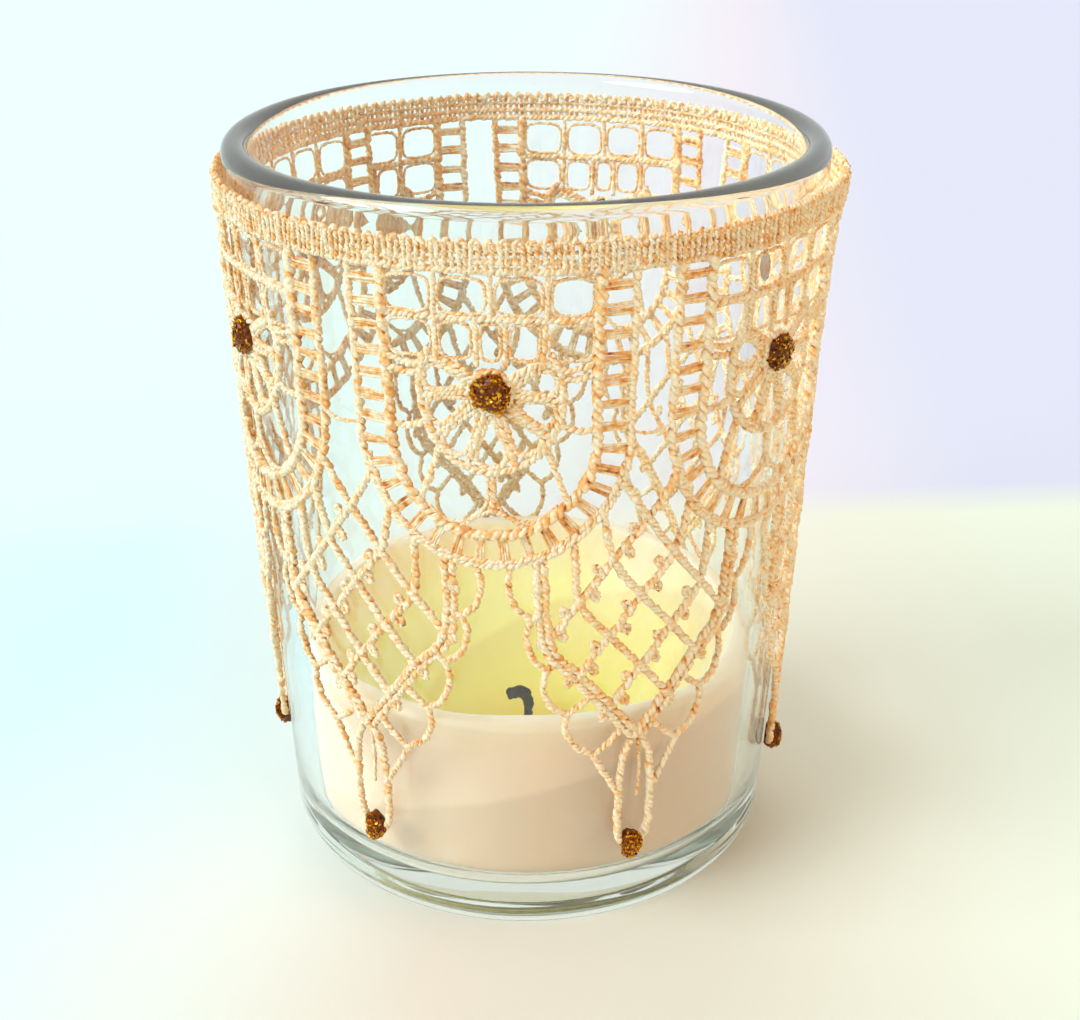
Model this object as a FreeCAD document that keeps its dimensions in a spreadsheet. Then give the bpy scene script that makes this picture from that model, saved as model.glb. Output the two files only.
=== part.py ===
import FreeCAD, Part
import math
import os

import Sketcher

# Tapered glass candle holder wrapped in a band of guipure lace, with blobs of glitter glue
# on the lace and a part-burnt candle inside. Millimetres and degrees, +Z up.
# The origin is the centre of the foot, on the table. The front medallion of the lace faces -Y.

Vector = FreeCAD.Vector
PlanePoint = FreeCAD.Base.Vector2d

doc = FreeCAD.newDocument("lace_candle_glass")
sheet = doc.addObject("Spreadsheet::Sheet", "Sizes")
driving_sizes = [
    ("cup_height", "84", "height of the glass"),
    ("rim_radius", "32", "outer radius of the glass at the rim"),
    ("foot_radius", "28.1", "outer wall carried down to the table"),
    ("glass_wall", "2.8", "wall thickness of the glass"),
    ("base_thickness", "5.8", "glass under the candle"),
    ("heel_round", "5.5", "rounding where the wall meets the foot"),
    ("floor_round", "3.5", "rounding inside the floor"),
    ("rim_round", "1.35", "rounding of the rim"),
    ("rim_land", "0.05", "least half width left flat on the rim"),
    ("recess_depth", "0.8", "hollow under the foot"),
    ("recess_radius", "17", "radius of the hollow under the foot"),
    ("glue_film", "0.15", "clear glue between the lace and the glass, or a blob and the lace"),
    ("lace_thickness", "1.4", "thickness of the lace"),
    ("lace_below_rim", "2.8", "bare glass above the lace"),
    ("lace_repeat", "31.4", "width of one repeat of the lace"),
    ("lace_seam", "0.6", "open seam between the ends of the band"),
    ("cord_width", "1.15", "width of each cord in the lace"),
    ("header_height", "3.2", "solid heading along the top of the lace"),
    ("window_height", "4.4", "height of one row of square windows"),
    ("window_rows", "2", "rows of windows in a medallion"),
    ("window_columns", "4", "windows in a row"),
    ("arch_space", "4.3", "space between the arches of two medallions"),
    ("arch_straight", "19.7", "depth where the sides of an arch turn into its round"),
    ("ladder_width", "3.4", "width of the ladder round a medallion"),
    ("ladder_slots", "3", "openings along the ladder of one medallion"),
    ("flower_below", "2.7", "centre of the flower below the windows"),
    ("flower_radius", "7", "outer ring of the flower"),
    ("hub_radius", "1.6", "centre of the flower"),
    ("petal_count", "6", "petals of the flower"),
    ("curl_count", "4", "openings between the flower and its arch"),
    ("net_fall", "9.2", "top knot of a drop below the straight sides of the arches"),
    ("net_half_width", "3.5", "half the width of one diamond of the net"),
    ("net_half_height", "4.3", "half the height of one diamond of the net"),
    ("net_rows", "3", "diamonds along one side of the net"),
    ("net_first_angle", "20.7", "first knot of the net on the round of the arch"),
    ("net_last_angle", "70", "last knot of the net on the round of the arch"),
    ("scallop_angle", "82", "first scallop on the round of the arch"),
    ("scallop_count", "4", "scallop loops along one side of a drop"),
    ("scallop_bulge", "0.9", "how far a scallop stands out between its knots"),
    ("scallop_bow", "1.5", "how far the edge of a drop bows out halfway down"),
    ("loop_neck", "1.6", "half the width of the long loop at its top"),
    ("loop_half_width", "2", "half the width of the long loop at a point"),
    ("loop_join", "6.9", "foot of the net to where the scallops run into the long loop"),
    ("loop_length", "14.6", "foot of the net to the point of the drop"),
    ("front_medallion", "2", "whole medallions on the band before the front one"),
    ("medallion_dot_radius", "2.1", "blob of glitter glue on a flower"),
    ("medallion_dot_height", "1.3", "thickness of that blob"),
    ("tip_dot_radius", "1.5", "blob of glitter glue on a point"),
    ("tip_dot_height", "1.2", "thickness of that blob"),
    ("candle_clearance", "0.3", "room between the candle and the glass wall"),
    ("candle_seat", "0.1", "room between the candle and the glass floor"),
    ("wax_height", "21.6", "candle against the glass, above the glass floor"),
    ("wax_lip", "2", "wax left standing against the glass"),
    ("crater_floor", "1", "wax left over the neck of the tab, under the burnt-out bowl"),
    ("wick_radius", "0.65", "radius of the wick"),
    ("wick_clearance", "0.06", "room round the wick and its tab in the wax"),
    ("wick_stand", "4.5", "straight part of the wick above the bowl"),
    ("wick_hook_radius", "1.1", "bend of the charred tip"),
    ("wick_hook_turn", "125", "turn of the charred tip"),
    ("tab_radius", "8", "tin tab that holds the wick"),
    ("tab_thickness", "0.4", "thickness of that tab"),
    ("tab_neck_radius", "1.5", "crimped neck of the tab"),
    ("tab_neck_height", "3", "height of that neck"),
]
for row, (alias, value, meaning) in enumerate(driving_sizes, start=1):
    sheet.set(f"A{row}", meaning)
    sheet.set(f"B{row}", value)
    sheet.setAlias(f"B{row}", alias)
doc.recompute()


def size(alias):
    return float(sheet.get(alias))


def count(alias):
    return int(round(size(alias)))


def origin_plane(body, role):
    return next(feature for feature in body.Origin.OriginFeatures if feature.Role == role)


def new_sketch(body, name, role="XZ_Plane"):
    sketch = body.newObject("Sketcher::SketchObject", name)
    sketch.AttachmentSupport = [(origin_plane(body, role), "")]
    sketch.MapMode = "FlatFace"
    return sketch


def add_outline(sketch, corners, closed=True):
    ends = corners[1:] + corners[:1] if closed else corners[1:]
    for start, end in zip(corners, ends):
        sketch.addGeometry(Part.LineSegment(Vector(*start, 0), Vector(*end, 0)), False)
    lines = sketch.GeometryCount
    for line in range(lines if closed else lines - 1):
        sketch.addConstraint(Sketcher.Constraint("Coincident", line, 2, (line + 1) % lines, 1))


def measured(sketch, kind, where):
    if kind == "Radius":
        return sketch.Geometry[where[0]].Radius
    if kind == "Angle":
        arc = sketch.Geometry[where[0]]
        return arc.LastParameter - arc.FirstParameter
    gap = sketch.getPoint(*where[2:]) - sketch.getPoint(*where[:2])
    return gap.x if kind == "DistanceX" else gap.y


def drive(sketch, kind, where, name, expression):
    start = measured(sketch, kind, where)
    index = sketch.addConstraint(Sketcher.Constraint(kind, *where, start))
    sketch.renameConstraint(index, name)
    sketch.setExpression(f"Constraints.{name}", expression)


def place(sketch, line, name, across=None, up=None):
    if across:
        drive(sketch, "DistanceX", (-1, 1, line, 1), f"{name}_across", across)
    if up:
        drive(sketch, "DistanceY", (-1, 1, line, 1), f"{name}_up", up)


def revolve(body, sketch):
    turn = body.newObject("PartDesign::Revolution", f"{body.Label}_turn")
    turn.Profile = sketch
    turn.ReferenceAxis = (sketch, ["V_Axis"])
    turn.Angle = 360
    doc.recompute()
    return turn


def ring_edges(feature, radius, height, slack=1e-4):
    names = []
    for number, edge in enumerate(feature.Shape.Edges, start=1):
        if not isinstance(edge.Curve, Part.Circle):
            continue
        if abs(edge.Curve.Radius - radius) < slack and abs(edge.Curve.Center.z - height) < slack:
            names.append(f"Edge{number}")
    return names


def round_edges(body, name, edges, expression):
    base = body.Tip
    fillet = body.newObject("PartDesign::Fillet", name)
    fillet.Base = (base, edges)
    fillet.setExpression("Radius", expression)
    doc.recompute()
    return fillet


def new_body(label):
    body = doc.addObject("PartDesign::Body", label)
    body.Label = label
    return body


# Heights and radii inside the glass, as expressions that other pieces share
WALL_SLOPE = "(Sizes.rim_radius - Sizes.foot_radius) / Sizes.cup_height"
FLOOR = "Sizes.base_thickness"
SEAT = f"({FLOOR} + Sizes.candle_seat)"
WAX_TOP = f"({FLOOR} + Sizes.wax_height)"
TAB_DECK = f"({SEAT} + Sizes.tab_thickness)"
TAB_CROWN = f"({TAB_DECK} + Sizes.tab_neck_height)"
BOWL_FLOOR = f"({TAB_CROWN} + Sizes.wick_clearance + Sizes.crater_floor)"

seat_height = size("base_thickness") + size("candle_seat")
wax_top = size("base_thickness") + size("wax_height")
tab_deck = seat_height + size("tab_thickness")
tab_crown = tab_deck + size("tab_neck_height")
bowl_floor = tab_crown + size("wick_clearance") + size("crater_floor")


def bore_at(height):
    return f"(Sizes.foot_radius + {WALL_SLOPE} * {height} - Sizes.glass_wall)"


def outer_radius(height):
    return size("foot_radius") + (size("rim_radius") - size("foot_radius")) * height / size("cup_height")


def glass_cup():
    body = new_body("glass_cup")
    sketch = new_sketch(body, "glass_profile")
    hollow_edge = size("recess_radius") + size("recess_depth")
    bore_floor = outer_radius(size("base_thickness")) - size("glass_wall")
    add_outline(sketch, [
        (0, size("recess_depth")),
        (size("recess_radius"), size("recess_depth")),
        (hollow_edge, 0),
        (size("foot_radius"), 0),
        (size("rim_radius"), size("cup_height")),
        (size("rim_radius") - size("glass_wall"), size("cup_height")),
        (bore_floor, size("base_thickness")),
        (0, size("base_thickness")),
    ])
    for flat in (0, 2, 4, 6):
        sketch.addConstraint(Sketcher.Constraint("Horizontal", flat))
    sketch.addConstraint(Sketcher.Constraint("Vertical", 7))
    sketch.addConstraint(Sketcher.Constraint("PointOnObject", 0, 1, -2))
    sketch.addConstraint(Sketcher.Constraint("PointOnObject", 2, 1, -1))
    sketch.addConstraint(Sketcher.Constraint("Parallel", 3, 5))
    place(sketch, 0, "recess_roof", up="Sizes.recess_depth")
    place(sketch, 1, "recess_roof_edge", across="Sizes.recess_radius")
    place(sketch, 2, "recess_foot_edge", across="Sizes.recess_radius + Sizes.recess_depth")
    place(sketch, 3, "foot", across="Sizes.foot_radius")
    place(sketch, 4, "rim", across="Sizes.rim_radius", up="Sizes.cup_height")
    place(sketch, 5, "bore_mouth", across="Sizes.rim_radius - Sizes.glass_wall")
    place(sketch, 6, "floor", up=FLOOR)
    turn = revolve(body, sketch)
    heel = ring_edges(turn, size("foot_radius"), 0)
    round_edges(body, "heel_rounding", heel, "Sizes.heel_round")
    floor = ring_edges(body.Tip, bore_floor, size("base_thickness"))
    round_edges(body, "floor_rounding", floor, "Sizes.floor_round")
    rim = ring_edges(body.Tip, size("rim_radius"), size("cup_height"))
    rim += ring_edges(body.Tip, size("rim_radius") - size("glass_wall"), size("cup_height"))
    round_edges(body, "rim_rounding", rim, "min(Sizes.rim_round; Sizes.glass_wall / 2 - Sizes.rim_land)")
    return body


def candle_wax():
    body = new_body("candle_wax")
    sketch = new_sketch(body, "wax_profile")
    clear = "Sizes.wick_clearance"
    bowl_edge = f"({bore_at(WAX_TOP)} - Sizes.candle_clearance - Sizes.wax_lip)"
    depth = f"({WAX_TOP} - {BOWL_FLOOR})"
    foot_out = outer_radius(seat_height) - size("glass_wall") - size("candle_clearance")
    top_out = outer_radius(wax_top) - size("glass_wall") - size("candle_clearance")
    bowl = top_out - size("wax_lip")
    bowl_depth = wax_top - bowl_floor
    bowl_radius = (bowl ** 2 + bowl_depth ** 2) / (2 * bowl_depth)
    bowl_centre = bowl_floor + bowl_radius
    hole = size("wick_radius") + size("wick_clearance")
    neck = size("tab_neck_radius") + size("wick_clearance")
    tab = size("tab_radius") + size("wick_clearance")
    bottom = bowl_centre - math.sqrt(bowl_radius ** 2 - hole ** 2)
    add_outline(sketch, [
        (hole, bottom),
        (hole, tab_crown + size("wick_clearance")),
        (neck, tab_crown + size("wick_clearance")),
        (neck, tab_deck + size("wick_clearance")),
        (tab, tab_deck + size("wick_clearance")),
        (tab, seat_height),
        (foot_out, seat_height),
        (top_out, wax_top),
        (bowl, wax_top),
    ], closed=False)
    start = math.atan2(bottom - bowl_centre, hole)
    end = math.atan2(wax_top - bowl_centre, bowl)
    circle = Part.Circle(Vector(0, bowl_centre, 0), Vector(0, 0, 1), bowl_radius)
    arc = sketch.addGeometry(Part.ArcOfCircle(circle, start, end), False)
    sketch.addConstraint(Sketcher.Constraint("Coincident", arc, 1, 0, 1))
    sketch.addConstraint(Sketcher.Constraint("Coincident", arc, 2, 7, 2))
    sketch.addConstraint(Sketcher.Constraint("PointOnObject", arc, 3, -2))
    for upright in (0, 2, 4):
        sketch.addConstraint(Sketcher.Constraint("Vertical", upright))
    for flat in (1, 3, 5, 7):
        sketch.addConstraint(Sketcher.Constraint("Horizontal", flat))
    place(sketch, 1, "wick_hole_top", across=f"Sizes.wick_radius + {clear}", up=f"{TAB_CROWN} + {clear}")
    place(sketch, 3, "tab_roof", across=f"Sizes.tab_neck_radius + {clear}", up=f"{TAB_DECK} + {clear}")
    place(sketch, 5, "tab_seat", across=f"Sizes.tab_radius + {clear}", up=SEAT)
    place(sketch, 6, "foot", across=f"{bore_at(SEAT)} - Sizes.candle_clearance")
    place(sketch, 7, "lip", across=f"{bore_at(WAX_TOP)} - Sizes.candle_clearance", up=WAX_TOP)
    drive(sketch, "DistanceX", (-1, 1, 7, 2), "bowl_across", bowl_edge)
    drive(sketch, "DistanceY", (-1, 1, arc, 3), "bowl_centre",
          f"{BOWL_FLOOR} + {depth} / 2 + {bowl_edge} * {bowl_edge} / (2 * {depth})")
    turn = revolve(body, sketch)
    foot = ring_edges(turn, foot_out, seat_height)
    round_edges(body, "wax_foot_rounding", foot, "Sizes.floor_round")
    return body


def wick_tab():
    body = new_body("wick_tab")
    sketch = new_sketch(body, "tab_profile")
    hole = size("wick_radius") + size("wick_clearance")
    add_outline(sketch, [
        (hole, seat_height),
        (size("tab_radius"), seat_height),
        (size("tab_radius"), tab_deck),
        (size("tab_neck_radius"), tab_deck),
        (size("tab_neck_radius"), tab_crown),
        (hole, tab_crown),
    ])
    for flat in (0, 2, 4):
        sketch.addConstraint(Sketcher.Constraint("Horizontal", flat))
    for upright in (1, 3, 5):
        sketch.addConstraint(Sketcher.Constraint("Vertical", upright))
    place(sketch, 0, "tab_foot", across="Sizes.wick_radius + Sizes.wick_clearance", up=SEAT)
    place(sketch, 2, "tab_edge", across="Sizes.tab_radius", up=TAB_DECK)
    place(sketch, 4, "tab_neck", across="Sizes.tab_neck_radius", up=TAB_CROWN)
    revolve(body, sketch)
    return body


def wick():
    body = new_body("wick")
    bend = bowl_floor + size("wick_stand")
    hook = size("wick_hook_radius")
    turn = math.radians(size("wick_hook_turn"))
    path = new_sketch(body, "wick_path")
    path.addGeometry(Part.LineSegment(Vector(0, seat_height, 0), Vector(0, bend, 0)), False)
    circle = Part.Circle(Vector(-hook, bend, 0), Vector(0, 0, 1), hook)
    path.addGeometry(Part.ArcOfCircle(circle, 0, turn), False)
    path.addConstraint(Sketcher.Constraint("PointOnObject", 0, 1, -2))
    path.addConstraint(Sketcher.Constraint("Vertical", 0))
    path.addConstraint(Sketcher.Constraint("Tangent", 0, 2, 1, 1))
    place(path, 0, "foot", up=SEAT)
    drive(path, "DistanceY", (-1, 1, 0, 2), "bend", f"{BOWL_FLOOR} + Sizes.wick_stand")
    drive(path, "Radius", (1,), "hook", "Sizes.wick_hook_radius")
    drive(path, "Angle", (1,), "hook_turn", "Sizes.wick_hook_turn")
    section = new_sketch(body, "wick_section", "XY_Plane")
    section.setExpression("AttachmentOffset.Base.z", SEAT)
    section.addGeometry(Part.Circle(Vector(0, 0, 0), Vector(0, 0, 1), size("wick_radius")), False)
    section.addConstraint(Sketcher.Constraint("Coincident", 0, 3, -1, 1))
    drive(section, "Radius", (0,), "wick", "Sizes.wick_radius")
    doc.recompute()
    pipe = body.newObject("PartDesign::AdditivePipe", "wick_pipe")
    pipe.Profile = section
    pipe.Spine = (path, ["Edge1", "Edge2"])
    doc.recompute()
    return body


def glue_dot(label, radius, height, angle, depth):
    body = new_body(label)
    sketch = new_sketch(body, f"{label}_profile")
    reach, rise = size(radius), size(height)
    dome = (reach ** 2 + rise ** 2) / (2 * rise)
    add_outline(sketch, [(0, rise), (0, 0), (reach, 0)], closed=False)
    circle = Part.Circle(Vector(0, rise - dome, 0), Vector(0, 0, 1), dome)
    rim_angle = math.atan2(dome - rise, reach)
    arc = sketch.addGeometry(Part.ArcOfCircle(circle, rim_angle, math.pi / 2), False)
    sketch.addConstraint(Sketcher.Constraint("Coincident", arc, 1, 1, 2))
    sketch.addConstraint(Sketcher.Constraint("Coincident", arc, 2, 0, 1))
    sketch.addConstraint(Sketcher.Constraint("PointOnObject", arc, 3, -2))
    sketch.addConstraint(Sketcher.Constraint("Vertical", 0))
    sketch.addConstraint(Sketcher.Constraint("Horizontal", 1))
    sketch.addConstraint(Sketcher.Constraint("Coincident", 0, 2, -1, 1))
    drive(sketch, "DistanceX", (1, 1, 1, 2), "reach", f"Sizes.{radius}")
    drive(sketch, "DistanceY", (0, 2, 0, 1), "rise", f"Sizes.{height}")
    revolve(body, sketch)
    seat = lace_point(angle, depth, size("lace_thickness") + size("glue_film"))
    outward = lace_point(angle, depth, 1) - lace_point(angle, depth, 0)
    body.Placement = FreeCAD.Placement(seat, FreeCAD.Rotation(Vector(0, 0, 1), outward))
    return body


# The band of lace is drawn flat, as (distance along the band, depth below its top edge), with a
# medallion or a drop centred on zero. It is then wrapped on the cone of the glass.

wall_tilt = math.atan((size("rim_radius") - size("foot_radius")) / size("cup_height"))
lace_top = size("cup_height") - size("lace_below_rim")
half_cord = size("cord_width") / 2
arch_radius = (size("lace_repeat") - size("arch_space")) / 2
inner_radius = arch_radius - size("ladder_width")
windows_end = size("header_height") + count("window_rows") * size("window_height")
flower_centre = windows_end + size("flower_below")
first_medallion = arch_radius + half_cord
band_radius = outer_radius(lace_top) + size("glue_film") / math.cos(wall_tilt)
band_length = 2 * math.pi * band_radius - size("lace_seam")
round_steps = 8
scallop_share = 0.91


def lace_point(angle, depth, lift):
    reach = band_radius - depth * math.sin(wall_tilt) + lift * math.cos(wall_tilt)
    height = lace_top - depth * math.cos(wall_tilt) - lift * math.sin(wall_tilt)
    return Vector(reach * math.sin(angle), -reach * math.cos(angle), height)


def on_round(radius, angle):
    return (radius * math.cos(angle), size("arch_straight") + radius * math.sin(angle))


def arch_at(radius, station):
    # Stations 0 to 1 run down the left side, 1 to 2 round the bottom and 2 to 3 up the right side
    fall = size("arch_straight") - size("header_height")
    if station <= 1:
        return (-radius, size("header_height") + fall * station)
    if station <= 2:
        return on_round(radius, math.pi * (2 - station))
    return (radius, size("arch_straight") - fall * (station - 2))


def arch_run(radius, start, end):
    bends = [1 + step / round_steps for step in range(round_steps + 1)]
    stations = [start] + [bend for bend in bends if start < bend < end] + [end]
    return [arch_at(radius, station) for station in stations]


def ladder_cells():
    slots = count("ladder_slots")
    for slot in range(slots):
        start, end = 3 * slot / slots, 3 * (slot + 1) / slots
        yield arch_run(arch_radius, start, end) + arch_run(inner_radius, start, end)[::-1]


def window_cells():
    columns = count("window_columns")
    width = 2 * inner_radius / columns
    for row in range(count("window_rows")):
        top = size("header_height") + row * size("window_height")
        low = top + size("window_height")
        for column in range(columns):
            left = -inner_radius + column * width
            yield [(left, top), (left + width, top), (left + width, low), (left, low)]


def flower_at(radius, angle):
    return (radius * math.sin(angle), flower_centre + radius * math.cos(angle))


def flower_to_arch(angle):
    side = math.copysign(inner_radius, angle)
    offset = flower_centre - size("arch_straight")
    swing = offset * math.cos(angle)
    reach = -swing + math.sqrt(swing ** 2 - offset ** 2 + inner_radius ** 2)
    across, depth = flower_at(reach, angle)
    if depth < size("arch_straight"):
        depth = flower_centre + inner_radius * math.cos(angle) / max(abs(math.sin(angle)), 1e-6)
        across = side
    return (across, max(depth, windows_end))


flower_end = math.pi - math.acos(size("flower_below") / size("flower_radius"))


def fan(parts, part, steps):
    start = -flower_end + 2 * flower_end * part / parts
    return [start + 2 * flower_end / parts * step / steps for step in range(steps + 1)]


def flower_cells():
    petals = count("petal_count")
    for petal in range(petals):
        angles = fan(petals, petal, 2)
        outer = [flower_at(size("flower_radius"), angle) for angle in angles]
        yield [flower_at(size("hub_radius"), angles[0])] + outer + [flower_at(size("hub_radius"), angles[-1])]
    curls = count("curl_count")
    for curl in range(curls):
        angles = fan(curls, curl, 3)
        ring = [flower_at(size("flower_radius"), angle) for angle in angles]
        yield [flower_to_arch(angle) for angle in angles] + ring[::-1]


def beside_drop(point):
    # A point of the medallion on the left, seen from the centre of the drop
    return (point[0] - size("lace_repeat") / 2, point[1])


def net_knot(left, right):
    across = (right - left) * size("net_half_width")
    return (across, size("arch_straight") + size("net_fall") + (left + right) * size("net_half_height"))


net_foot = net_knot(count("net_rows"), count("net_rows"))
point_depth = net_foot[1] + size("loop_length")


def arch_knot(row):
    first, last = math.radians(size("net_first_angle")), math.radians(size("net_last_angle"))
    return beside_drop(on_round(arch_radius, first + (last - first) * row / count("net_rows")))


def mirrored(points):
    return [(-across, depth) for across, depth in points][::-1]


def net_cells():
    rows = count("net_rows")
    for left in range(rows):
        for right in range(rows):
            yield [net_knot(left, right), net_knot(left, right + 1),
                   net_knot(left + 1, right + 1), net_knot(left + 1, right)]
    for row in range(rows):
        cell = [net_knot(row, 0), net_knot(row + 1, 0), arch_knot(row + 1), arch_knot(row)]
        yield cell
        yield mirrored(cell)


def space_cell():
    top = (-size("arch_space") / 2, size("header_height"))
    spring = (-size("arch_space") / 2, size("arch_straight"))
    side = [net_knot(0, 0), arch_knot(0), spring, top]
    return side + mirrored(side[1:])


def along(path, share):
    lengths = [math.dist(start, end) for start, end in zip(path, path[1:])]
    left = share * sum(lengths)
    for start, end, length in zip(path, path[1:], lengths):
        if left <= length:
            return tuple(a + (b - a) * left / length for a, b in zip(start, end))
        left -= length
    return path[-1]


def net_border():
    rows = count("net_rows")
    return [arch_knot(rows)] + [net_knot(rows, step) for step in range(rows + 1)]


def bowed(start, end, share, reach):
    # A point on the way from start to end, moved out to the left of that way
    length = math.dist(start, end)
    across, depth = along([start, end], share)
    return (across - (end[1] - start[1]) / length * reach, depth + (end[0] - start[0]) / length * reach)


def scallop_knots():
    start = beside_drop(on_round(arch_radius, math.radians(size("scallop_angle"))))
    end = (-size("loop_half_width"), net_foot[1] + size("loop_join"))
    steps = count("scallop_count") + 1
    shares = [step / steps for step in range(steps + 1)]
    return [bowed(start, end, share, size("scallop_bow") * math.sin(math.pi * share)) for share in shares]


def scallop_top(start, end):
    return bowed(start, end, 0.5, size("scallop_bulge"))


def scallop_edge():
    knots = scallop_knots()
    edge = [knots[0]]
    for start, end in zip(knots[:-1], knots[1:-1]):
        edge += [scallop_top(start, end), end]
    return edge


def scallop_cells():
    border, knots, loops = net_border(), scallop_knots(), count("scallop_count")
    for loop in range(loops):
        shares = [scallop_share * (loop + step) / loops for step in (0, 0.5, 1)]
        inner = [along(border, share) for share in shares]
        cell = inner + [knots[loop + 1], scallop_top(knots[loop], knots[loop + 1]), knots[loop]]
        yield cell
        yield mirrored(cell)


def long_loop():
    # Half of the loop at the point of a drop, from its bottom up to the foot of the net
    half = size("loop_half_width")
    bottom = point_depth - size("cord_width")
    return [(-half / 2, bottom), (-half, bottom - half), (-half, net_foot[1] + size("loop_join")),
            (-size("loop_neck"), net_foot[1] + size("loop_neck")), net_foot]


def point_cells():
    loop, border, loops = long_loop(), net_border(), count("scallop_count")
    yield loop + mirrored(loop[:-1])
    last = along(border, scallop_share)
    side = [last, loop[4], loop[3], loop[2], scallop_knots()[loops]]
    yield side
    yield mirrored(side)


def signed_area(points):
    pairs = zip(points, points[1:] + points[:1])
    return sum(a[0] * b[1] - b[0] * a[1] for a, b in pairs) / 2


def shifted(points, distance):
    # A closed outline drawn in from its cord centre-lines by a distance, or out if it is negative
    turn = math.copysign(1, signed_area(points))
    normals = []
    for start, end in zip(points, points[1:] + points[:1]):
        length = math.dist(start, end)
        normals.append((-(end[1] - start[1]) / length * turn, (end[0] - start[0]) / length * turn))
    moved = []
    for number, point in enumerate(points):
        before, after = normals[number - 1], normals[number]
        scale = distance / (1 + before[0] * after[0] + before[1] * after[1])
        moved.append((point[0] + (before[0] + after[0]) * scale, point[1] + (before[1] + after[1]) * scale))
    return moved


def opening(cell):
    # The gap that the cords leave in a cell, without the sides that they cover
    corners = list(cell)
    while len(corners) > 2:
        gap = shifted(corners, half_cord)
        sides = list(zip(corners, corners[1:] + corners[:1], gap, gap[1:] + gap[:1]))
        turned = [number for number, (a, b, c, d) in enumerate(sides)
                  if (b[0] - a[0]) * (d[0] - c[0]) + (b[1] - a[1]) * (d[1] - c[1]) <= 0]
        if not turned:
            return gap
        del corners[turned[0]]
    return []


def cut_at(points, limit):
    # The part of a convex gap before a limit along the band
    kept = []
    for start, end in zip(points, points[1:] + points[:1]):
        if start[0] <= limit:
            kept.append(start)
        if (start[0] - limit) * (end[0] - limit) < 0:
            share = (limit - start[0]) / (end[0] - start[0])
            kept.append((limit, start[1] + (end[1] - start[1]) * share))
    return kept


def moved_along(points, distance):
    return [(across + distance, depth) for across, depth in points]


def band_gaps():
    medallion = [opening(cell) for cells in (ladder_cells(), window_cells(), flower_cells()) for cell in cells]
    drop = [opening(cell) for cells in (net_cells(), scallop_cells(), point_cells()) for cell in cells]
    drop.append(opening(space_cell()))
    limit = band_length - size("cord_width")
    least_area = size("cord_width") ** 2 / 2
    gaps = []
    for repeat in range(math.ceil(band_length / size("lace_repeat")) + 1):
        centre = first_medallion + repeat * size("lace_repeat")
        placed = [moved_along(gap, centre) for gap in medallion]
        placed += [moved_along(gap, centre + size("lace_repeat") / 2) for gap in drop]
        gaps += [cut_at(gap, limit) for gap in placed]
    return [gap for gap in gaps if len(gap) > 2 and abs(signed_area(gap)) > least_area]


def band_edge():
    # The outer edge of the whole band, from the top of its first end round to the top of its last
    edge = [(half_cord, half_cord), (half_cord, size("arch_straight"))]
    quarter = range(1, round_steps // 2 + 1)
    start = [on_round(arch_radius, math.pi - math.pi / 2 * step / (round_steps // 2)) for step in quarter]
    edge += moved_along(start, first_medallion)
    loop = long_loop()
    point = [loop[2], loop[1], (-size("loop_half_width") / 2, point_depth - half_cord)]
    side = scallop_edge() + point
    centre = first_medallion + size("lace_repeat") / 2
    while centre - size("lace_repeat") / 2 < band_length:
        edge += moved_along(side + mirrored(side), centre)
        centre += size("lace_repeat")
    edge.append((edge[-1][0], half_cord))
    outline = shifted(edge, -half_cord)
    flat = Part.Face(Part.makePolygon([Vector(*point, 0) for point in outline + outline[:1]]))
    band = Part.Face(Part.makePlane(band_length, 2 * point_depth, Vector(0, 0, 0)))
    kept = max(flat.common(band).Faces, key=lambda face: face.Area)
    return [(vertex.X, vertex.Y) for vertex in kept.OuterWire.OrderedVertexes]


def wrapped_wire(points, cone, slant):
    corners = [PlanePoint(across / band_radius, slant - depth) for across, depth in points]
    sides = zip(corners, corners[1:] + corners[:1])
    return Part.Wire([Part.Geom2d.Line2dSegment(start, end).toShape(cone) for start, end in sides])


def split_long(points, longest):
    result = []
    for start, end in zip(points, points[1:] + points[:1]):
        steps = max(1, math.ceil(math.dist(start, end) / longest))
        result += [along([start, end], step / steps) for step in range(steps)]
    return result


def lace_band():
    edge = split_long(band_edge(), size("lace_repeat"))
    if signed_area(edge) > 0:
        edge = edge[::-1]
    gaps = [gap if signed_area(gap) > 0 else gap[::-1] for gap in band_gaps()]
    slant = 2 * point_depth
    skins = []
    rims = []
    for lift in (0, size("lace_thickness")):
        low, high = lace_point(0, slant, lift), lace_point(0, 0, lift)
        cone = Part.Cone(Vector(0, 0, low.z), Vector(0, 0, high.z), -low.y, -high.y)
        wires = [wrapped_wire(points, cone, slant) for points in [edge] + gaps]
        skin = Part.Face(cone, wires[0])
        skin.cutHoles(wires[1:])
        skins.append(skin)
        rims.append(wires)
    walls = [Part.makeLoft([inner, outer], False, True) for inner, outer in zip(*rims)]
    shell = Part.makeShell(skins + [face for wall in walls for face in wall.Faces])
    shell.sewShape()
    band = doc.addObject("Part::Feature", "lace_band")
    band.Label = "lace_band"
    band.Shape = Part.Solid(shell)
    band.Placement = FreeCAD.Placement(Vector(0, 0, 0), Vector(0, 0, 1), math.degrees(band_start))
    print("gaps in the lace:", len(gaps))
    return band


front_centre = first_medallion + count("front_medallion") * size("lace_repeat")
band_start = -front_centre / band_radius
repeat_turn = size("lace_repeat") / band_radius
first_turn = band_start + first_medallion / band_radius
whole_medallions = int((band_length - first_medallion - arch_radius) // size("lace_repeat")) + 1
whole_drops = int((band_length - first_medallion - size("loop_half_width")) / size("lace_repeat") + 0.5)

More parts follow.
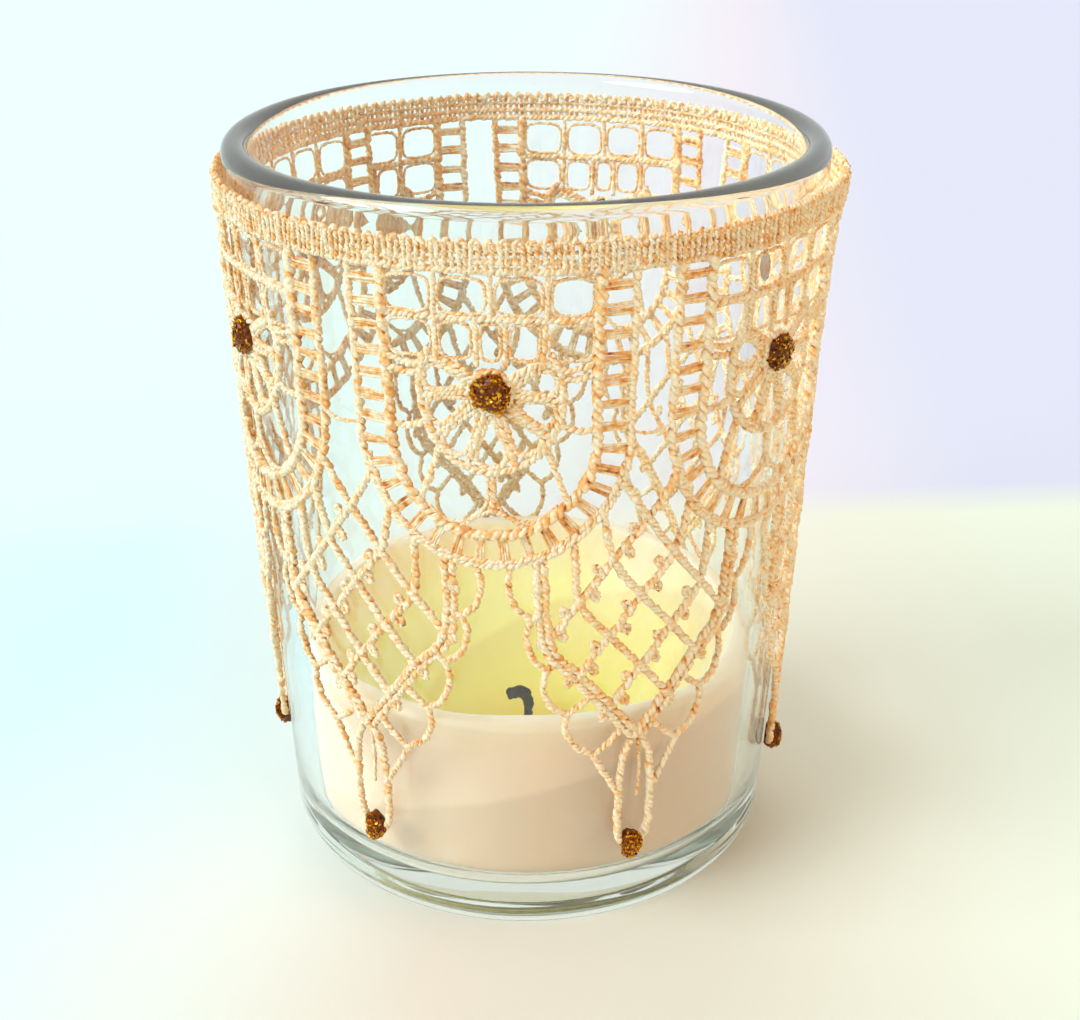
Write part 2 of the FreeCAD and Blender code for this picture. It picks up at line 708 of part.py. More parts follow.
parts = [glass_cup(), lace_band(), candle_wax(), wick_tab(), wick()]
for number in range(whole_medallions):
    turn = first_turn + number * repeat_turn
    parts.append(glue_dot(f"medallion_dot_{number + 1}", "medallion_dot_radius", "medallion_dot_height",
                          turn, flower_centre))
for number in range(whole_drops):
    turn = first_turn + (number + 0.5) * repeat_turn
    parts.append(glue_dot(f"tip_dot_{number + 1}", "tip_dot_radius", "tip_dot_height",
                          turn, point_depth - size("tip_dot_radius") / 2))
doc.recompute()

for item in doc.Objects:
    if "Invalid" in item.State or "Error" in item.State:
        raise RuntimeError(f"{item.Label} failed: {item.State}")
for part in parts:
    if part.Shape.isNull() or not part.Shape.isValid() or part.Shape.Volume <= 0:
        raise RuntimeError(f"{part.Label} has no valid shape")

os.makedirs("parts", exist_ok=True)
for part in parts:
    part.Shape.exportStep(f"parts/{part.Label}.step")
    print(f"{part.Label}: {part.Shape.Volume:.1f} mm3")
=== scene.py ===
import math

import bpy
import numpy as np
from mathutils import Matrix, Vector


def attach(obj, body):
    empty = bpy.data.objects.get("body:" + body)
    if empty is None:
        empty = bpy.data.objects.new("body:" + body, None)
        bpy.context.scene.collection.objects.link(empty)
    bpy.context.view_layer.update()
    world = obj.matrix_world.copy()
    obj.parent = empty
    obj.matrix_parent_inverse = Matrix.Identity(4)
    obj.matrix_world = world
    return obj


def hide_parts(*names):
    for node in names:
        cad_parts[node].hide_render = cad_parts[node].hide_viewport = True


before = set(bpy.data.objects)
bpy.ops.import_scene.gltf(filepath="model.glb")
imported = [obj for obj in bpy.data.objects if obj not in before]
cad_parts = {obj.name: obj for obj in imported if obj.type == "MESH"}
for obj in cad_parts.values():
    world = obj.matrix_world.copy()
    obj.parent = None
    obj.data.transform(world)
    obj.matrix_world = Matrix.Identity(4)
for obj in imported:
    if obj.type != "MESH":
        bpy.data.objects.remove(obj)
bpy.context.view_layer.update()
mm = 0.001
print("frame loaded:", len(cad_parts), "nodes")


def hexColour(code):  # sRGB hex to linear
    steps = [int(code[i:i + 2], 16) / 255 for i in (1, 3, 5)]
    return tuple(c / 12.92 if c < 0.04045 else ((c + 0.055) / 1.055) ** 2.4 for c in steps) + (1.0,)


def addNode(tree, kind, values=None, links=None, **settings):
    node = tree.nodes.new("ShaderNode" + kind)
    for name, value in settings.items():
        setattr(node, name, value)
    for name, value in (values or {}).items():
        node.inputs[name].default_value = value
    for name, socket in (links or {}).items():
        tree.links.new(socket, node.inputs[name])
    return node


def newMaterial(name):
    material = bpy.data.materials.new(name)
    material.use_nodes = True
    material.node_tree.nodes.clear()
    return material, material.node_tree


def setRamp(node, stops):
    ramp = node.color_ramp
    while len(ramp.elements) < len(stops):
        ramp.elements.new(0.5)
    for element, (place, code) in zip(ramp.elements, stops):
        element.position = place
        element.color = hexColour(code)
    return node


def newPiece(name, points, faces, material, smooth=True):
    mesh = bpy.data.meshes.new(name)
    mesh.from_pydata(np.asarray(points).tolist(), [], faces)
    mesh.polygons.foreach_set("use_smooth", [smooth] * len(mesh.polygons))
    mesh.materials.append(material)
    mesh.validate()
    piece = bpy.data.objects.new(name, mesh)
    bpy.context.scene.collection.objects.link(piece)
    return piece


# The glass: a pressed tumbler, straight taper, rounded rim, thick base
tumbler = {
    "height": 84, "rimRadius": 32, "footRadius": 28.1, "wall": 2.8, "base": 5.8,   # mm
    "heelRound": 5.5, "floorRound": 3.5, "rimRound": 1.35, "hollowRadius": 17, "hollowDepth": 0.8,
    "ripple": 0.05, "segments": 288,
}
tilt = math.atan((tumbler["rimRadius"] - tumbler["footRadius"]) / tumbler["height"])


def outerRadius(height):
    return tumbler["footRadius"] + math.tan(tilt) * height


def boreRadius(height):
    return outerRadius(height) - tumbler["wall"]


def arcPoints(centre, radius, start, end, steps):
    turns = np.radians(np.linspace(start, end, steps))
    return [(centre[0] + radius * math.cos(a), centre[1] + radius * math.sin(a)) for a in turns]


def runPoints(start, end, steps=8):
    # a straight stretch, with rings close to its ends so that smooth shading stays flat along it
    shares = [0.02] + [i / steps for i in range(1, steps)] + [0.98]
    return [(start[0] + (end[0] - start[0]) * s, start[1] + (end[1] - start[1]) * s) for s in shares]


def latheRings(profile, segments, shift=None):
    # profile runs from axis to axis in mm; shift moves each ring point by (radius, height) in mm
    turns = np.linspace(0, 2 * math.pi, segments, endpoint=False)
    points, rings = [], []
    for radius, height in profile:
        if radius < 1e-6:
            rings.append([len(points)] * segments)
            points.append((0, 0, height * mm))
            continue
        r, z = np.full(segments, float(radius)), np.full(segments, float(height))
        if shift:
            dr, dz = shift(turns, radius, height)
            r, z = r + dr, z + dz
        rings.append(list(range(len(points), len(points) + segments)))
        points += np.stack([r * np.sin(turns), -r * np.cos(turns), z], -1).dot(mm).tolist()
    faces = []
    for low, high in zip(rings, rings[1:]):
        for i in range(segments):
            corners = [low[i], low[(i + 1) % segments], high[(i + 1) % segments], high[i]]
            face = list(dict.fromkeys(corners))
            if len(face) > 2:
                faces.append(face)
    return points, faces


def tumblerProfile():
    t = tumbler
    degrees = math.degrees(tilt)
    heel = t["footRadius"] - t["heelRound"] * (1 - math.sin(tilt)) / math.cos(tilt)
    rimHeight = t["height"] - t["rimRound"]
    rimOut = t["footRadius"] + (rimHeight * math.sin(tilt) - t["rimRound"]) / math.cos(tilt)
    rimIn = t["footRadius"] - t["wall"] + (rimHeight * math.sin(tilt) + t["rimRound"]) / math.cos(tilt)
    floorHeight = t["base"] + t["floorRound"]
    floorIn = boreRadius(floorHeight) - t["floorRound"] / math.cos(tilt)
    hollow = (t["hollowRadius"], t["hollowDepth"])
    foot = (t["hollowRadius"] + t["hollowDepth"], 0)
    heelArc = arcPoints((heel, t["heelRound"]), t["heelRound"], -90, -degrees, 22)
    rimArc = arcPoints((rimOut, rimHeight), t["rimRound"], -degrees, 90, 12)
    rimArc += arcPoints((rimIn, rimHeight), t["rimRound"], 90, 180 - degrees, 12)
    floorArc = arcPoints((floorIn, floorHeight), t["floorRound"], -degrees, -90, 14)
    profile = [(0, t["hollowDepth"])] + runPoints((0, t["hollowDepth"]), hollow)
    profile += runPoints(hollow, foot, 3) + runPoints(foot, heelArc[0], 3)
    profile += heelArc + runPoints(heelArc[-1], rimArc[0], 18) + rimArc
    profile += runPoints(rimArc[-1], floorArc[0], 18) + floorArc + runPoints(floorArc[-1], (0, t["base"]))
    return profile + [(0, t["base"])]


def glassRipple(turns, radius, height):
    # the slow waviness that a mould and fire polishing leave
    wave = np.cos(2 * turns + 0.07 * height) + 0.6 * np.cos(5 * turns - 0.11 * height + 1.3)
    wave = wave + 0.4 * np.cos(9 * turns + 0.23 * height)
    return tumbler["ripple"] * wave * min(1, radius / 10), np.zeros_like(turns)


def sodaLimeGlass():
    # pressed soda-lime glass, fire polished: clear, a little green where it is thick
    material, tree = newMaterial("pressedSodaLimeGlass")
    place = {"Vector": addNode(tree, "TexCoord").outputs["Object"]}
    swirl = addNode(tree, "TexNoise", {"Scale": 1 / (14 * mm), "Detail": 2.0}, place)
    bump = addNode(tree, "Bump", {"Strength": 0.05, "Distance": 0.3 * mm}, {"Height": swirl.outputs["Fac"]})
    shader = addNode(tree, "BsdfPrincipled", {
        "Base Color": hexColour("#FCFFFE"), "Roughness": 0.01, "IOR": 1.52, "Transmission Weight": 0.988,
    }, {"Normal": bump.outputs["Normal"]})
    absorb = addNode(tree, "VolumeAbsorption", {"Color": hexColour("#CCDCAC"), "Density": 6.0})
    addNode(tree, "OutputMaterial", links={"Surface": shader.outputs[0], "Volume": absorb.outputs[0]})
    return material


glassPoints, glassFaces = latheRings(tumblerProfile(), tumbler["segments"], glassRipple)
glass = newPiece("glass_tumbler", glassPoints, glassFaces, sodaLimeGlass())
glass.visible_shadow = False   # lamps reach the candle through it
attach(glass, "cup")
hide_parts("glass_cup")
print("glass:", len(glassFaces), "faces")


# The lace: drawn flat in mm as (along the band, depth below its top edge), then wrapped on the glass
lace = {
    "belowRim": 2.8, "film": 0.15, "standOff": 0.68, "repeat": 31.4, "seam": -0.35, "firstMedallion": 14.125,
    "before": 2, "whole": 6, "seed": 40,
    "cutArea": 0.00165, "lastCut": (0.0147, 0.0333),   # m2 and m, as the sheets are declared
    # header
    "header": 3.2, "picot": 1.25, "edgeMiddle": 0.42, "edgeWave": 0.36, "stitch": 0.62, "lean": 0.22,
    "headerRows": ((1.2, "thin"), (2.0, "fine"), (2.9, "grid")), "stitchDepths": (0.35, 1.7, 3.1),
    # arch and its ladder
    "archInner": 10.15, "archOuter": 13.55, "archStraight": 19.7, "tuck": 0.4, "liner": 0.45,
    "linerSpan": (0.27, 0.73), "rungs": 30, "rungThreads": 4, "rungGap": 0.26, "rungDrift": 0.12,
    "threadDrift": 0.1, "threadFan": (0.8, 1.25), "rungTuck": 0.1,
    # windows over the flower
    "row": 4.4, "columns": 5.05, "narrow": 1.35, "ringInset": 0.42, "cross": 0.2,
    "sillMiddle": 7.6, "sillDrops": (-0.4, 0.5, -0.3), "shoulder": ((2.9, 12.6), (1.4, 13.6)),
    # flower: braces are (degrees, distance along the arch), the chin, stem and curl (across, depth)
    "flowerDepth": 14.7, "petals": 7, "fan": 118, "petalSide": 6.75, "petalFoot": 8.0, "hub": 1.9,
    "petalGap": 0.6, "petalShape": ((0.6, 0.34), (0.84, 0.38), (0.95, 0.22)), "petalTip": 0.97, "edge": 0.2,
    "hubRings": ((0.55, "fine"), (1.05, "plain")),
    "braces": ((102, 9.6), (63, 15.4), (43, 25.5)), "braceSag": 0.3,
    "chin": ((0, 27.0), (1.7, 27.7), (3.4, 29.2)), "stem": ((0.1, 25.2), (0, 27.1)),
    "curl": ((0.3, 23.4), (0.5, 26.2), (2.2, 28.0), (4.4, 28.2), (6.3, 26.8)),
    # net of a point, its scallops and the loop at its end
    "netTop": 28.9, "netWide": 3.5, "netHigh": 4.3, "netRows": 3, "netAngles": (20.7, 70), "borderPair": 0.4,
    "netPicots": ((0.36, -1, 1.15), (0.66, 1, 1.45)), "picotHook": 0.35, "borderPicot": 1.5, "borderHook": -0.3,
    "scallopAngle": 82, "scallops": 5, "scallopBulge": 1.0, "scallopBow": 1.5, "borderShare": 0.91,
    "loopHead": ((-0.7, 0.1), (-1.6, 2.4), (-2.0, 6.9)), "loopLength": 14.6,
    "loopTail": ((-2.0, -3.2), (-1.3, -1.2), (0.2, -0.5)), "spareEnd": ((0.25, 0.3), (0.5, 3.5), (0.3, 7.5)),
    "bar": (19.2, 19.7, 19.3),
    # cord
    "step": 0.2, "twist": 2.8, "plySides": 6, "threadSides": 5, "wander": 0.22, "overCords": 0.22,
    "slackAt": 48, "slack": 0.8, "slackReach": 9,
}
thick = {   # cord radius, mm
    "main": 0.64, "plain": 0.48, "grid": 0.42, "fine": 0.34, "stitch": 0.28, "thin": 0.23, "thread": 0.15,
}
laceTop = tumbler["height"] - lace["belowRim"]
bandRadius = outerRadius(laceTop) + lace["film"] / math.cos(tilt)
bandStart = -lace["firstMedallion"] - lace["before"] * lace["repeat"]
bandEnd = bandStart + 2 * math.pi * bandRadius - lace["seam"]


def wrapLace(across, depth, lift):
    turn = across / bandRadius
    reach = bandRadius - depth * math.sin(tilt) + lift * math.cos(tilt)
    height = laceTop - depth * math.cos(tilt) - lift * math.sin(tilt)
    return np.stack([reach * np.sin(turn), -reach * np.cos(turn), height], -1)


def outward(across):
    turn = across / bandRadius
    level = math.cos(tilt)
    return np.stack([level * np.sin(turn), -level * np.cos(turn), np.full_like(turn, -math.sin(tilt))], -1)


def handWander(points):
    # the lace was glued by hand, so its lines wander a little together
    x, y = points[:, 0], points[:, 1]
    dx = np.sin(x / 4.1 + y / 5.3) + 0.7 * np.sin(x / 7.7 - y / 3.1 + 2.0)
    dx = dx + 0.5 * np.sin(x / 2.3 + y / 2.9 + 4.0)
    dy = np.sin(x / 3.7 - y / 6.1 + 1.0) + 0.7 * np.sin(x / 6.3 + y / 4.3 + 3.0)
    dy = dy + 0.5 * np.sin(x / 2.6 - y / 2.4)
    return points + lace["wander"] * 0.5 * np.stack([dx, dy * np.clip(y / 6, 0.2, 1)], -1)


def smoothPath(points, closed, step):
    # a Catmull-Rom curve through the points, sampled evenly
    p = np.asarray(points, float)
    p = np.vstack([p[-1:], p, p[:2]]) if closed else np.vstack([2 * p[0] - p[1], p, 2 * p[-1] - p[-2]])
    t = np.linspace(0, 1, 9)[:-1, None]
    parts = []
    for a, b, c, d in zip(p, p[1:], p[2:], p[3:]):
        parts.append(0.5 * (2 * b + (c - a) * t + (2 * a - 5 * b + 4 * c - d) * t ** 2
                            + (3 * b - a - 3 * c + d) * t ** 3))
    path = np.vstack(parts + [p[-2:-1]])
    gone = np.concatenate([[0], np.cumsum(np.linalg.norm(np.diff(path, axis=0), axis=1))])
    count = max(3, int(round(gone[-1] / step)) + 1)
    at = np.linspace(0, gone[-1], count)
    return np.stack([np.interp(at, gone, path[:, 0]), np.interp(at, gone, path[:, 1])], -1)


def archAt(radius, gone):
    # a point on an arch, by distance along the middle of its ladder
    side = lace["archStraight"] - lace["header"]
    middle = (lace["archInner"] + lace["archOuter"]) / 2
    bend = math.pi * middle
    if gone <= side:
        return (-radius, lace["header"] + gone)
    if gone <= side + bend:
        a = math.pi - (gone - side) / middle
        return (radius * math.cos(a), lace["archStraight"] + radius * math.sin(a))
    return (radius, lace["archStraight"] - (gone - side - bend))


def archLength():
    middle = (lace["archInner"] + lace["archOuter"]) / 2
    return 2 * (lace["archStraight"] - lace["header"]) + math.pi * middle


def ringIn(left, right, top, low, inset, power=4, count=16):
    # a rounded square cord inside one window
    wide, high = (right - left) / 2 - inset, (low - top) / 2 - inset
    ring = []
    for i in range(count):
        a = 2 * math.pi * i / count
        c, s = math.cos(a), math.sin(a)
        reach = (abs(c) ** power + abs(s) ** power) ** (-1 / power)
        ring.append(((left + right) / 2 + wide * reach * c, (top + low) / 2 + high * reach * s))
    return ring


def flowerAt(radius, degrees):
    a = math.radians(degrees)
    return (radius * math.sin(a), lace["flowerDepth"] + radius * math.cos(a))


def petalReach(degrees):
    down = max(0.0, math.cos(math.radians(degrees)))
    return lace["petalSide"] + (lace["petalFoot"] - lace["petalSide"]) * down ** 2


def picot(start, direction, length, hook=0.3):
    # a nub: the cord turned back on itself in a tight loop
    way = np.asarray(direction, float) / np.linalg.norm(direction)
    side = np.array([-way[1], way[0]])
    start = np.asarray(start, float)
    middle = start + way * length * 0.6 + side * length * hook * 0.5
    return [start, middle + side * 0.34, start + way * length + side * length * hook, middle - side * 0.34]


def headerCords(centre, draw):
    half = lace["repeat"] / 2
    xs = np.arange(-half, half + 0.01, lace["picot"] / 4)
    waves = [math.cos(2 * math.pi * (x + centre) / lace["picot"]) for x in xs]
    yield [(x, lace["edgeMiddle"] - lace["edgeWave"] * wave) for x, wave in zip(xs, waves)], "fine", False
    for depth, size in lace["headerRows"]:
        yield [(x, depth) for x in np.linspace(-half, half, 12)], size, False
    top, middle, low = lace["stitchDepths"]
    for x in np.arange(-half, half, lace["stitch"]):
        lean = draw.uniform(-lace["lean"], lace["lean"])
        yield [(x, top), (x + lean / 2, middle), (x + lean, low)], "stitch", False


def mirrored(points, side):
    return [(side * x, y) for x, y in points]


def archCords():
    inner, outer, length, tuck = lace["archInner"], lace["archOuter"], archLength(), lace["tuck"]
    linerFrom, linerTo = lace["linerSpan"]
    for radius, size in ((inner, "main"), (outer, "plain")):
        yield [archAt(radius, gone) for gone in np.linspace(-tuck, length + tuck, 60)], size, False
    stretch = np.linspace(length * linerFrom, length * linerTo, 30)
    yield [archAt(outer - lace["liner"], gone) for gone in stretch], "fine", False


def windowCords():
    inner, columns, narrow = lace["archInner"], lace["columns"], lace["narrow"]
    row, top, cross = lace["row"], lace["header"], lace["cross"]
    rowOne = [-inner, -columns, 0, columns, inner]
    rowTwo = [-inner, -columns, -narrow, narrow, columns, inner]
    for line, edges in ((0, rowOne), (1, rowTwo)):
        high = top + line * row
        for left, right in zip(edges, edges[1:]):
            yield ringIn(left, right, high, high + row, lace["ringInset"]), "thin", True
        for x in edges[1:-1]:
            yield [(x, high - cross), (x, high + row / 2), (x, high + row + cross)], "fine", False
    yield [(x, top + row) for x in np.linspace(-inner, inner, 7)], "grid", False
    places = zip((columns, lace["sillMiddle"], inner), lace["sillDrops"])
    sill = [(x, top + 2 * row + drop) for x, drop in places]
    for side in (-1, 1):
        yield mirrored(sill, side), "grid", False
        yield mirrored([sill[0], *lace["shoulder"]], side), "grid", False


def flowerCords():
    hub, edge = lace["hub"], lace["edge"]
    spread = 2 * lace["fan"] / lace["petals"]
    for petal in range(lace["petals"]):
        way = -lace["fan"] + spread * (petal + 0.5)
        reach = petalReach(way)
        shape = [(hub + lace["petalGap"], 0)] + [(share * reach, wide) for share, wide in lace["petalShape"]]
        side = [flowerAt(r, way + wide * spread) for r, wide in shape]
        back = [flowerAt(r, way - wide * spread) for r, wide in shape[:0:-1]]
        yield side + [flowerAt(lace["petalTip"] * reach, way)] + back, "fine", True
    for spoke in range(lace["petals"] + 1):
        way = -lace["fan"] + spread * spoke
        reach = petalReach(way)
        yield [flowerAt(r, way) for r in (hub * 0.6, reach / 2, reach + 0.3)], "grid", False
    ways = np.linspace(-lace["fan"] - 6, lace["fan"] + 6, 26)
    yield [flowerAt(petalReach(way) + edge, way) for way in ways], "plain", False
    for share, size in lace["hubRings"]:
        yield [flowerAt(hub * share, way) for way in range(0, 360, 30)], size, True
    for side in (-1, 1):
        for way, gone in lace["braces"]:
            end = archAt(lace["archInner"], gone)
            start = flowerAt(petalReach(way) + edge, way)
            middle = ((start[0] - end[0]) / 2, (start[1] + end[1]) / 2 + lace["braceSag"])
            yield mirrored([start, middle, (-end[0], end[1])], side), "grid", False
        yield mirrored(lace["chin"], side), "fine", False
        yield mirrored(lace["curl"], side), "thin", False
    yield [flowerAt(lace["petalFoot"] + edge, 0), *lace["stem"]], "grid", False


def ladderCords(draw):
    length, tuck, threads = archLength(), lace["rungTuck"], lace["rungThreads"]
    for rung in range(lace["rungs"]):
        gone = length * (rung + 0.5) / lace["rungs"] + draw.uniform(-lace["rungDrift"], lace["rungDrift"])
        fanOut = draw.uniform(*lace["threadFan"])
        for thread in range(threads):
            offset = (thread - (threads - 1) / 2) * lace["rungGap"]
            drift = draw.uniform(-lace["threadDrift"], lace["threadDrift"])
            start = archAt(lace["archInner"] - tuck, gone + offset * 0.9 + drift)
            end = archAt(lace["archOuter"] + tuck, gone + offset * fanOut)
            yield [start, ((start[0] + end[0]) / 2, (start[1] + end[1]) / 2), end], "thread", False


def medallionCords(draw):
    yield from (*archCords(), *windowCords(), *flowerCords(), *ladderCords(draw))


def netKnot(left, right):
    return ((right - left) * lace["netWide"], lace["netTop"] + (left + right) * lace["netHigh"])


def archKnot(degrees):
    # on the arch to the left of a drop, seen from the middle of the drop
    a = math.radians(degrees)
    across = lace["archOuter"] * math.cos(a) - lace["repeat"] / 2
    return (across, lace["archStraight"] + lace["archOuter"] * math.sin(a))


def alongPath(path, share):
    path = np.asarray(path, float)
    gone = np.concatenate([[0], np.cumsum(np.linalg.norm(np.diff(path, axis=0), axis=1))])
    at = share * gone[-1]
    return np.array([np.interp(at, gone, path[:, 0]), np.interp(at, gone, path[:, 1])])


def beside(path, distance):
    path = np.asarray(path, float)
    way = np.gradient(path, axis=0)
    way /= np.linalg.norm(way, axis=1)[:, None]
    return path + distance * np.stack([-way[:, 1], way[:, 0]], -1)


def scallopKnots(foot):
    joinAcross, joinDepth = lace["loopHead"][-1]
    start, end = np.array(archKnot(lace["scallopAngle"])), np.array([joinAcross, foot + joinDepth])
    way = (end - start) / np.linalg.norm(end - start)
    out = np.array([-way[1], way[0]])
    shares = np.linspace(0, 1, lace["scallops"] + 1)
    return [start + (end - start) * s + out * lace["scallopBow"] * math.sin(math.pi * s) for s in shares], out


def dropCords():
    rows = lace["netRows"]
    foot = netKnot(rows, rows)[1]
    point = foot + lace["loopLength"]
    angles = np.linspace(*lace["netAngles"], rows + 1)
    for side in (-1, 1):
        for row in range(rows):
            line = [archKnot(angles[row])] + [netKnot(row, step) for step in range(rows + 1)]
            yield mirrored(line, -side), "plain", False
        border = [archKnot(angles[rows])] + [netKnot(rows, step) for step in range(rows + 1)]
        for shift in (-lace["borderPair"], lace["borderPair"]):
            yield mirrored(beside(border, shift), -side), "plain", False
        knots, out = scallopKnots(foot)
        edge = [knots[0]]
        for start, end in zip(knots, knots[1:-1]):
            middle = (start + end) / 2 + out * lace["scallopBulge"]
            edge += [middle - (end - start) * 0.22, middle + (end - start) * 0.22, end]
        edge.append(knots[-1])
        yield mirrored(edge, -side), "grid", False
        for number in range(1, lace["scallops"]):
            joint = alongPath(border, lace["borderShare"] * number / (lace["scallops"] - 1))
            yield mirrored([joint, (joint + knots[number]) / 2 + 0.1, knots[number]], -side), "grid", False
            nub = alongPath(border, lace["borderShare"] * (number - 0.55) / (lace["scallops"] - 1))
            loop = picot(nub, out + np.array([0, 0.5]), lace["borderPicot"], lace["borderHook"])
            yield mirrored(loop, -side), "fine", True
        loop = [(x, foot + y) for x, y in lace["loopHead"]] + [(x, point + y) for x, y in lace["loopTail"]]
        yield mirrored(loop, -side), "plain", False
        for step in range(rows):
            for row in range(rows if side < 0 else 0):
                start, end = np.array(netKnot(step, row)), np.array(netKnot(step + 1, row))
                across = np.array([end[1] - start[1], start[0] - end[0]])
                for share, way, reach in lace["netPicots"]:
                    loop = picot(start + (end - start) * share, way * across, reach, lace["picotHook"])
                    yield loop, "fine", True
    yield [(x, foot + y) for x, y in lace["spareEnd"]], "thin", False
    gap = lace["repeat"] / 2 - lace["archOuter"]
    yield list(zip((-gap, 0, gap), lace["bar"])), "thin", False


def softNoise(count, spacing, draw):
    # smooth random values from -1 to 1
    knots = draw.uniform(-1, 1, int(count / spacing) + 3)
    return np.interp(np.arange(count) / spacing, np.arange(len(knots)), knots)


def unit(vectors):
    return vectors / np.linalg.norm(vectors, axis=1)[:, None]


spin = {"swing": 0.40, "pair": 0.57, "more": 0.5}   # how plies lie in a cord, in shares of its radius


class Yarn:
    # twisted cords gathered into one mesh, with a tone at each point that mixes random tone with painted shade:
    # low and darker in the twist, high and lighter on top

    def __init__(self):
        self.points, self.faces, self.tone, self.count, self.length = [], [], [], 0, 0.0

    def addStrand(self, spine, normal, radius, sides, tone, core=None, rest=None):
        way = unit(np.gradient(spine, axis=0))
        flat = unit(normal - way * np.sum(normal * way, axis=1)[:, None])
        side = np.cross(way, flat)
        turn = 2 * math.pi * np.arange(sides) / sides
        rim = np.cos(turn)[None, :, None] * side[:, None, :] + np.sin(turn)[None, :, None] * flat[:, None, :]
        rings = spine[:, None, :] + radius[:, None, None] * rim
        if rest is not None:   # pressed flat where it meets the film of glue
            sunk = np.sum((rest[:, None, :] - rings) * normal[:, None, :], axis=2)
            rings = rings + np.clip(sunk, 0, None)[:, :, None] * normal[:, None, :]
        index = self.count + np.arange(len(spine) * sides).reshape(len(spine), sides)
        following = np.roll(index, -1, axis=1)
        quads = np.stack([index[:-1], following[:-1], following[1:], index[1:]], -1).reshape(-1, 4)
        self.faces += quads.tolist() + [index[0][::-1].tolist(), index[-1].tolist()]
        self.points.append(rings.reshape(-1, 3))
        tone = np.repeat(tone, sides)
        # painted shade: points close to the cord's axis, down in the twist between the plies, get a lower,
        # darker tone
        if core is not None:
            away = np.linalg.norm(rings - core[:, None, :], axis=2) / (2 * radius)[:, None]
            tone = tone + 0.5 * (away.reshape(-1) - 0.65)
        self.tone.append(tone)
        self.count += len(spine) * sides

    def addTwist(self, spine, normal, radius, plies, pitch, sides, draw, rough=0.34, rest=None):
        # plies twisted round a spine, each a strand of its own, uneven as slack stitches are
        count = len(spine)
        side = np.cross(unit(np.gradient(spine, axis=0)), normal)
        gone = np.concatenate([[0], np.cumsum(np.linalg.norm(np.diff(spine, axis=0), axis=1))])
        self.length += gone[-1]
        base, start = draw.uniform(0.38, 0.62), draw.uniform(0, 6.28)
        fullness = spin["pair"] if plies == 2 else spin["more"]
        for ply in range(plies):
            angle = start + 2 * math.pi * (gone / pitch + ply / plies)
            angle = angle + 3.0 * rough * softNoise(count, 4, draw)
            swing = (radius * spin["swing"] * (1 + rough * softNoise(count, 2.4, draw)))[:, None]
            strand = spine + swing * (np.cos(angle)[:, None] * side + np.sin(angle)[:, None] * normal)
            full = radius * fullness * (1 + rough * softNoise(count, 1.8, draw))
            # painted light and shade: the ply lying on top, on the outer side, gets a higher, lighter tone; the
            # noise is random tone
            tone = base + 0.15 * np.sin(angle) + 0.22 * softNoise(count, 3, draw)
            self.addStrand(strand, normal, full, sides, tone, spine, rest)

    def addCord(self, path, size, draw):
        # a cord of the lace, wrapped on the glass
        path = handWander(path)
        count = len(path)
        along, down = (path[:, 0] - lace["slackAt"]) / lace["slackReach"], path[:, 1] / lace["slackReach"]
        slack = lace["slack"] * np.exp(-along ** 2 - down ** 2)
        lift = lace["standOff"] + slack + 0.08 * softNoise(count, 6, draw) + draw.uniform(-0.06, 0.06)
        lift = lift + (lace["overCords"] if size == "stitch" else 0)   # stitches lie over the cords they bind
        spine, normal = wrapLace(path[:, 0], path[:, 1], lift), outward(path[:, 0])
        rest = wrapLace(path[:, 0], path[:, 1], 0.0)
        radius = np.full(count, thick[size])
        if size == "thread":
            tone = draw.uniform(0.3, 0.7) + 0.25 * softNoise(count, 4, draw)
            radius = radius * (1 + 0.2 * softNoise(count, 3, draw))
            self.addStrand(spine, normal, radius, lace["threadSides"], tone, rest=rest)
        else:
            pitch = lace["twist"] * thick[size]
            self.addTwist(spine, normal, radius, 2, pitch, lace["plySides"], draw, rest=rest)

    def build(self, name, material):
        piece = newPiece(name, np.vstack(self.points) * mm, self.faces, material)
        tone = piece.data.attributes.new("tone", "FLOAT", "POINT")
        tone.data.foreach_set("value", np.concatenate(self.tone).astype(np.float32))
        return piece


